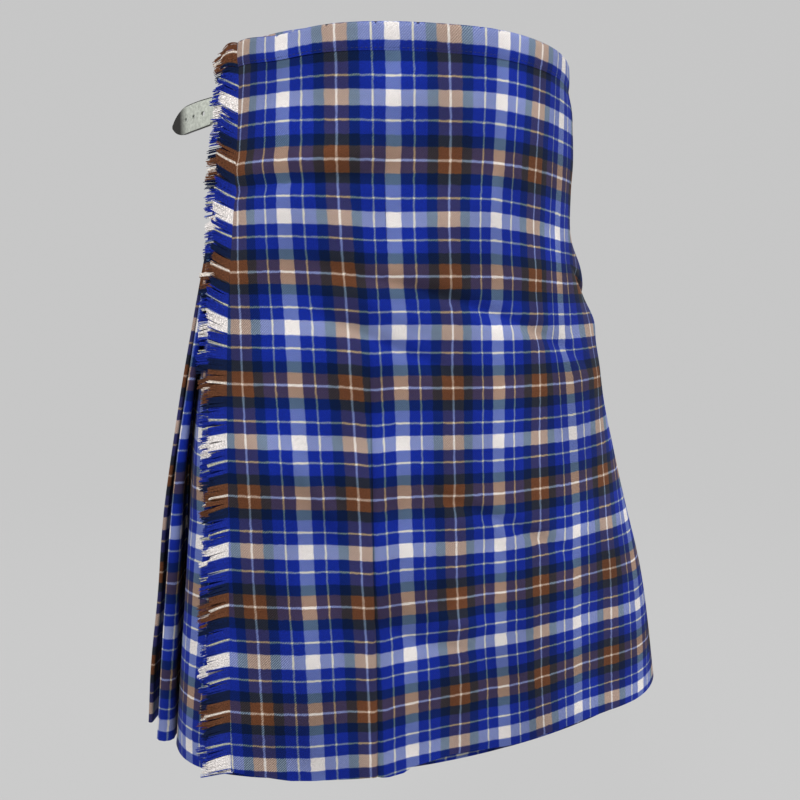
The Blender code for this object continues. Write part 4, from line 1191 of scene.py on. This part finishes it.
def wire(name, points, radius, cyclic, material, bevel=4):
    # a round wire along points, as a plain closed mesh
    curve = bpy.data.curves.new(name, "CURVE")
    curve.dimensions = "3D"
    curve.bevel_depth = radius
    curve.bevel_resolution = bevel
    curve.use_fill_caps = True
    line = curve.splines.new("POLY")
    line.points.add(len(points) - 1)
    for slot, point in zip(line.points, points):
        slot.co = (*point, 1.0)
    line.use_cyclic_u = cyclic
    raw = newObject(name + "Line", curve)
    mesh = bpy.data.meshes.new_from_object(raw.evaluated_get(bpy.context.evaluated_depsgraph_get()))
    bpy.data.objects.remove(raw)
    work = bmesh.new()
    work.from_mesh(mesh)
    bmesh.ops.remove_doubles(work, verts=work.verts, dist=0.00001)
    bmesh.ops.recalc_face_normals(work, faces=work.faces)
    work.to_mesh(mesh)
    work.free()
    mesh.shade_smooth()
    return addObject(name, mesh, material)


def prongRise():
    ringRadius = buckle["bar"] + buckle["gap"] + buckle["prong"]
    return ((buckle["long"] - ringRadius, 0.4 * mm), (0.62 * buckle["long"], 1.2 * mm),
            (0.3 * buckle["long"], 2.3 * mm), (-buckle["past"], ringRadius + 0.1 * mm))


def makeBuckle(side, seat, tabLeather):
    near, far = buckle["corner"], buckle["long"] - buckle["corner"]
    high = 0.5 * buckle["wide"] - buckle["corner"]
    loop = []
    for number, (back, up) in enumerate(((far, high), (near, high), (near, -high), (far, -high))):
        for turn in np.radians(np.linspace(90 * number, 90 * number + 90, 9)):
            loop.append(seat.place(back + buckle["corner"] * math.cos(turn), buckle["out"],
                                   up + buckle["corner"] * math.sin(turn)))
    dress(wire(f"buckleFrame_{side}", loop, buckle["bar"], True, nickel), "nickel", f"buckle_frame_{side}")
    ringRadius = buckle["bar"] + buckle["gap"] + buckle["prong"]
    heel = [seat.place(buckle["long"] + ringRadius * math.cos(turn), buckle["out"] + ringRadius * math.sin(turn), 0)
            for turn in np.linspace(0, 2 * math.pi, 24, endpoint=False)]
    prong = wire(f"buckleProng_{side}", heel, buckle["prong"], True, nickel)
    rod = [seat.place(back, buckle["out"] + up, 0) for back, up in prongRise()]
    arm = wire(f"buckleArm_{side}", rod, buckle["prong"], False, nickel)
    step = prong.modifiers.new("arm", "BOOLEAN")
    step.operation, step.object, step.solver = "UNION", arm, "EXACT"
    settle(prong, 60)
    bpy.data.objects.remove(arm)
    dress(prong, "nickel", f"buckle_prong_{side}")
    # the tab is sewn to the cloth, folded round the heel bar and notched for the prong
    bend = buckle["bar"] + buckle["gap"] + 0.5 * buckle["tabThick"]
    inner, outer = buckle["out"] - bend, buckle["out"] + bend
    upper, long = inner + buckle["tabThick"] + buckle["gap"], buckle["tabLong"]
    profile = [(long, inner), (0.75 * long, inner), (0.5 * long, inner), (0.25 * long, inner)]
    profile += [(bend * math.cos(turn), buckle["out"] + bend * math.sin(turn))
                for turn in np.radians(np.linspace(270, 90, 13))]
    profile += [(0.15 * long, outer), (0.3 * long, outer), (0.46 * long, 0.5 * (outer + upper)), (0.62 * long, upper),
                (0.8 * long, upper), (long, upper)]
    ups = np.array([-1, -0.9, -0.6, -0.3, -0.26, 0, 0.26, 0.3, 0.6, 0.9, 1]) * 0.5 * buckle["tabWide"]
    rows = np.array([[seat.place(buckle["long"] + back, out, up) for up in ups] for back, out in profile])
    uvs = np.array([[(0.004 * k, up) for up in ups] for k in range(len(profile))])
    backs = np.array([back for back, out in profile])
    nearBar = backs < buckle["notchLong"] * bend
    notch = (nearBar[:-1] & nearBar[1:])[:, None] & (np.abs(ups[:-1] + ups[1:])[None] < buckle["notchWide"])
    tab = clothShell(f"buckleTab_{side}", rows, uvs, buckle["tabThick"], tabLeather, notch, "strap")
    bevel = tab.modifiers.new("edge", "BEVEL")
    bevel.width, bevel.segments, bevel.limit_method, bevel.angle_limit = 0.35 * mm, 2, "ANGLE", math.radians(50)
    settle(tab, 50)
    dress(tab, "black_leather", f"buckle_tab_{side}")


def rightPath(seat):
    edge = layer("apronEdge", form["top"])
    path = [strapStation(edge, step * mm, out * mm) for step, out in strap["rightUnder"]] + overBuckle(seat)
    return path + [(Vector(point) * mm, Vector((0, 0, 1))) for point in strap["rightEnd"]]


def leftPath(seat):
    path = [strapStation(apron["slitTurn"], step * mm, out * mm) for step, out in strap["leftThrough"]]
    path += overBuckle(seat)
    return path + [(seat.place(buckle["long"] + back * mm, out * mm, -drop * mm), seat.up)
                   for back, out, drop in strap["leftEnd"]]


seats = {"right": BuckleSeat(buckle["rightTurn"]), "left": BuckleSeat(buckle["leftTurn"])}
paths = {"right": rightPath(seats["right"]), "left": leftPath(seats["left"])}
tabLeather = polishedBridleLeather("polished bridle leather, tab", 0.5 * buckle["tabWide"], 1.0, "#23211d")
for sideName in ("right", "left"):
    seat, path = seats[sideName], paths[sideName]
    strapLong = strapLine(path)[3]
    # the straps' face colour is a painted reflection, pale grey over black leather
    sheenPaintedLeather = polishedBridleLeather("polished bridle leather, " + sideName, 0.5 * strap["wide"], strapLong,
                                        leather["face"])
    dress(makeStrap(f"strap_{sideName}Leather", path, sheenPaintedLeather, seat), "black_leather", "strap_" + sideName)
    makeBuckle(sideName, seat, tabLeather)
print("straps and buckles made")


def stitchTree():
    # stitches at even steps along a guide's lines, each turned along the line and a little its own way
    tree, given = newTree("running stitches", ("Pitch", "Float", 0.004), ("Stitch Length", "Float", 0.0024),
                          ("Stitch Radius", "Float", 0.0003), ("Seed", "Int", 1), ("Material", "Material", None))
    line = addNode(tree, "GeometryNodeMeshToCurve", {0: given["Geometry"]})
    even = addNode(tree, "GeometryNodeResampleCurve", {0: line, "Length": given["Pitch"]}, mode="LENGTH")
    tangent = addNode(tree, "GeometryNodeInputTangent")
    stray = addNode(tree, "FunctionNodeRandomValue", {"Seed": given["Seed"], "Min": (-0.12,) * 3, "Max": (0.12,) * 3},
                    data_type="FLOAT_VECTOR")
    way = addNode(tree, "ShaderNodeVectorMath", {0: tangent, 1: stray}, operation="ADD")
    turned = addNode(tree, "FunctionNodeAlignRotationToVector", {"Vector": way}, axis="X")
    ball = addNode(tree, "GeometryNodeMeshUVSphere", {"Segments": 6, "Rings": 4, "Radius": 0.5})
    thick = addNode(tree, "ShaderNodeMath", {0: given["Stitch Radius"], 1: 2.0}, operation="MULTIPLY")
    size = addNode(tree, "ShaderNodeCombineXYZ", {0: given["Stitch Length"], 1: thick, 2: thick})
    each = addNode(tree, "GeometryNodeInstanceOnPoints",
                   {"Points": even, "Instance": ball, "Rotation": turned, "Scale": size})
    closeTree(tree, each, given["Material"])
    return tree


def guideLines(name, lines):
    mesh = bpy.data.meshes.new(name)
    points, edges = [], []
    for line in lines:
        first = len(points)
        points.extend([tuple(point) for point in line])
        edges.extend([(first + k, first + k + 1) for k in range(len(line) - 1)])
    mesh.from_pydata(points, edges, [])
    return mesh


stitches = {
    # mm from one to the next, length and radius, and the seed
    "seam": (3.6, 2.3, 0.22, 2), "fell": (5.0, 2.3, 0.22, 4), "tack": (2.6, 2.4, 0.3, 6), "tab": (2.8, 2.0, 0.28, 9),
    "seamUp": 2.0, "seamEnd": 268,                         # mm above the band's lower edge, and degrees round
    "fellDown": (26, 182), "fellIn": 1.6 * mm,
    "tackDown": (92, 104, 113, 126, 138, 147, 158), "tackLong": 7.0, "tackSide": -6.3,     # short tacks down the front
    "tabIn": 2.2 * mm, "tabFrom": 0.6, "tabTo": 0.93,      # in from the tab's sides, and shares of its length
}
runningStitch = stitchTree()


def seamLines():
    # along the waistband's lower edge, where it is sewn down
    bottom, top = Ring(waistband["high"] * mm), Ring(0.0)
    share = 1 - stitches["seamUp"] / waistband["high"]
    line = []
    for turn in np.arange(waistband["turns"][0] + 1, stitches["seamEnd"], 1.0):
        out = (np.interp(turn, waistband["turns"], waistband["outer"]) - 0.8 + bandRipple(turn)) * mm
        out += 0.5 * waistband["thick"]
        upper, lower = [np.array(ring.point(bandPlace(ring, turn), out)) for ring in (top, bottom)]
        line.append(upper + (lower - upper) * share)
    return [line]


def fellLines():
    # each pleat's edge is sewn down from the waistband to the hip
    lines = [[] for number in range(pleats["count"])]
    for down in np.arange(*stitches["fellDown"], 6.0) * mm:
        ring = Ring(down)
        edges = pleatEdges(ring)
        for number, line in enumerate(lines):
            stand = pleatStand(ring, number) + 0.5 * pleats["thick"]
            line.append(ring.points(np.array([edges[number] - stitches["fellIn"]]), stand)[0])
    return lines


def tackLines():
    lines = []
    for down in stitches["tackDown"]:
        line = []
        for step in np.linspace(0, stitches["tackLong"], 4):
            ring = Ring((down + step) * mm)
            along = np.array([stripeAlong(ring) + stitches["tackSide"] * mm])
            out, drop = apronRelief(ring, along)
            line.append(ring.points(along, out + 0.5 * apron["thick"], drop)[0])
        lines.append(line)
    return lines


def tabLines():
    # round the sewn end of each tab
    aside = 0.5 * buckle["tabWide"] - stitches["tabIn"]
    start, end = [stitches[name] * buckle["tabLong"] for name in ("tabFrom", "tabTo")]
    raised = buckle["out"] - buckle["bar"] + buckle["tabThick"] + 0.1 * mm
    corners = ((start, -aside), (start, aside), (end, aside), (end, -aside), (start, -aside))
    lines = []
    for seat in seats.values():
        line = []
        for (back, up), (nextBack, nextUp) in zip(corners, corners[1:]):
            line += [seat.place(buckle["long"] + back + (nextBack - back) * t, raised, up + (nextUp - up) * t)
                     for t in np.linspace(0, 1, 8, endpoint=False)]
        lines.append(line + [line[0]])
    return lines


def sew(name, lines, thread, slotName):
    pitch, long, radius, seed = stitches[name]
    values = {"Pitch": pitch * mm, "Stitch Length": long * mm, "Stitch Radius": radius * mm, "Seed": seed}
    sewn = grow(name + "Stitches", guideLines(name + "Guide", lines), runningStitch, values, thread)
    return dress(sewn, slotName)


seamStitches = sew("seam", seamLines(), navyThread, "tartan_wool")
fellStitches = sew("fell", fellLines(), navyThread, "tartan_wool")
tackStitches = sew("tack", tackLines(), navyThread, "tartan_wool")
sew("tab", tabLines(), blackThread, "black_leather")
print("stitches sewn")

# studio: a pale seamless cove, a broad key from the front left, a fill from the right
studio = {
    "floor": -1.05, "wallAway": 3.2, "wallHigh": 4.0, "curve": 1.6, "halfWide": 7.0,
    "paper": "#3f3f3f", "glow": 0.53,        # dark paper that glows, so that the shadows on it are faint
    "camera": (-0.3291, -0.8621, -0.1609), "turn": 20.0, "pitch": 5.882, "lens": 45.0,
    # name: place, aim, size in metres, watts
    "lamps": {
        "key": ((-1.6, -2.0, 2.1), (0.0, 0.0, -0.25), 0.9, 100.0),
        "fill": ((2.4, -1.5, 0.9), (0.0, 0.0, -0.25), 1.4, 52.0),
        "top": ((0.2, 0.4, 2.4), (0.0, 0.0, -0.2), 2.0, 18.0),
        "back": ((0.6, 2.4, 1.2), (0.0, 0.2, -0.2), 2.0, 20.0),
    },
    "sky": 0.35,
}


def seamlessPaper():
    # matt paper that rises behind in a curve, all round so that any side has the same ground
    profile = [(0.0, 0.0), (1.2, 0.0), (studio["wallAway"], 0.0)]
    for turn in np.radians(np.linspace(-80, 0, 9)):
        profile.append((studio["wallAway"] + studio["curve"] * math.cos(turn), studio["curve"] * (1 + math.sin(turn))))
    profile.append((studio["wallAway"] + studio["curve"], studio["wallHigh"]))
    made, tree, shader = newMaterial("matt studio paper", Roughness=0.95, Specular_IOR_Level=0.1)
    tone = unevenness(tree, addNode(tree, "ShaderNodeTexCoord").outputs["Object"], 25 * mm, 0.985, 1.0)
    toned = addNode(tree, "ShaderNodeVectorMath", {0: linear(studio["paper"])[:3], "Scale": tone}, operation="SCALE")
    feed(tree, shader, {"Base Color": toned, "Emission Color": linear("#ffffff"), "Emission Strength": studio["glow"]})
    mesh = bpy.data.meshes.new("studioPaper")
    work = bmesh.new()
    around = 64
    middle = work.verts.new((0, 0, studio["floor"]))
    rings = []
    for away, high in profile[1:]:
        rings.append([work.verts.new((away * math.cos(t), away * math.sin(t), studio["floor"] + high))
                      for t in np.linspace(0, 2 * math.pi, around, endpoint=False)])
    for k in range(around):
        work.faces.new((middle, rings[0][k], rings[0][(k + 1) % around]))
        for low, high in zip(rings, rings[1:]):
            work.faces.new((low[k], high[k], high[(k + 1) % around], low[(k + 1) % around]))
    work.to_mesh(mesh)
    work.free()
    mesh.shade_smooth()
    addObject("studioPaper", mesh, made)


def addLamp(name, place, aim, size, watts):
    lamp = bpy.data.lights.new(name, "AREA")
    lamp.shape, lamp.size, lamp.energy = "DISK", size, watts
    made = newObject(name, lamp)
    made.location = place
    made.rotation_euler = (Vector(aim) - Vector(place)).to_track_quat("-Z", "Y").to_euler()


def addCamera():
    camera = bpy.data.cameras.new("camera")
    camera.lens, camera.sensor_width, camera.clip_start = studio["lens"], 36.0, 0.02
    made = newObject("camera", camera)
    turn, pitch = math.radians(studio["turn"]), math.radians(studio["pitch"])
    ahead = Vector((math.sin(turn) * math.cos(pitch), math.cos(turn) * math.cos(pitch), -math.sin(pitch)))
    made.location = studio["camera"]
    made.rotation_euler = ahead.to_track_quat("-Z", "Y").to_euler()
    bpy.context.scene.camera = made


seamlessPaper()
for lampName, (place, aim, size, watts) in studio["lamps"].items():
    addLamp(lampName, place, aim, size, watts)
world = bpy.data.worlds.new("soft studio")
world.use_nodes = True
world.node_tree.nodes["Background"].inputs[0].default_value = linear("#ffffff")
world.node_tree.nodes["Background"].inputs[1].default_value = studio["sky"]
bpy.context.scene.world = world
bpy.context.scene.view_settings.view_transform = "Standard"
addCamera()
print("studio lit")
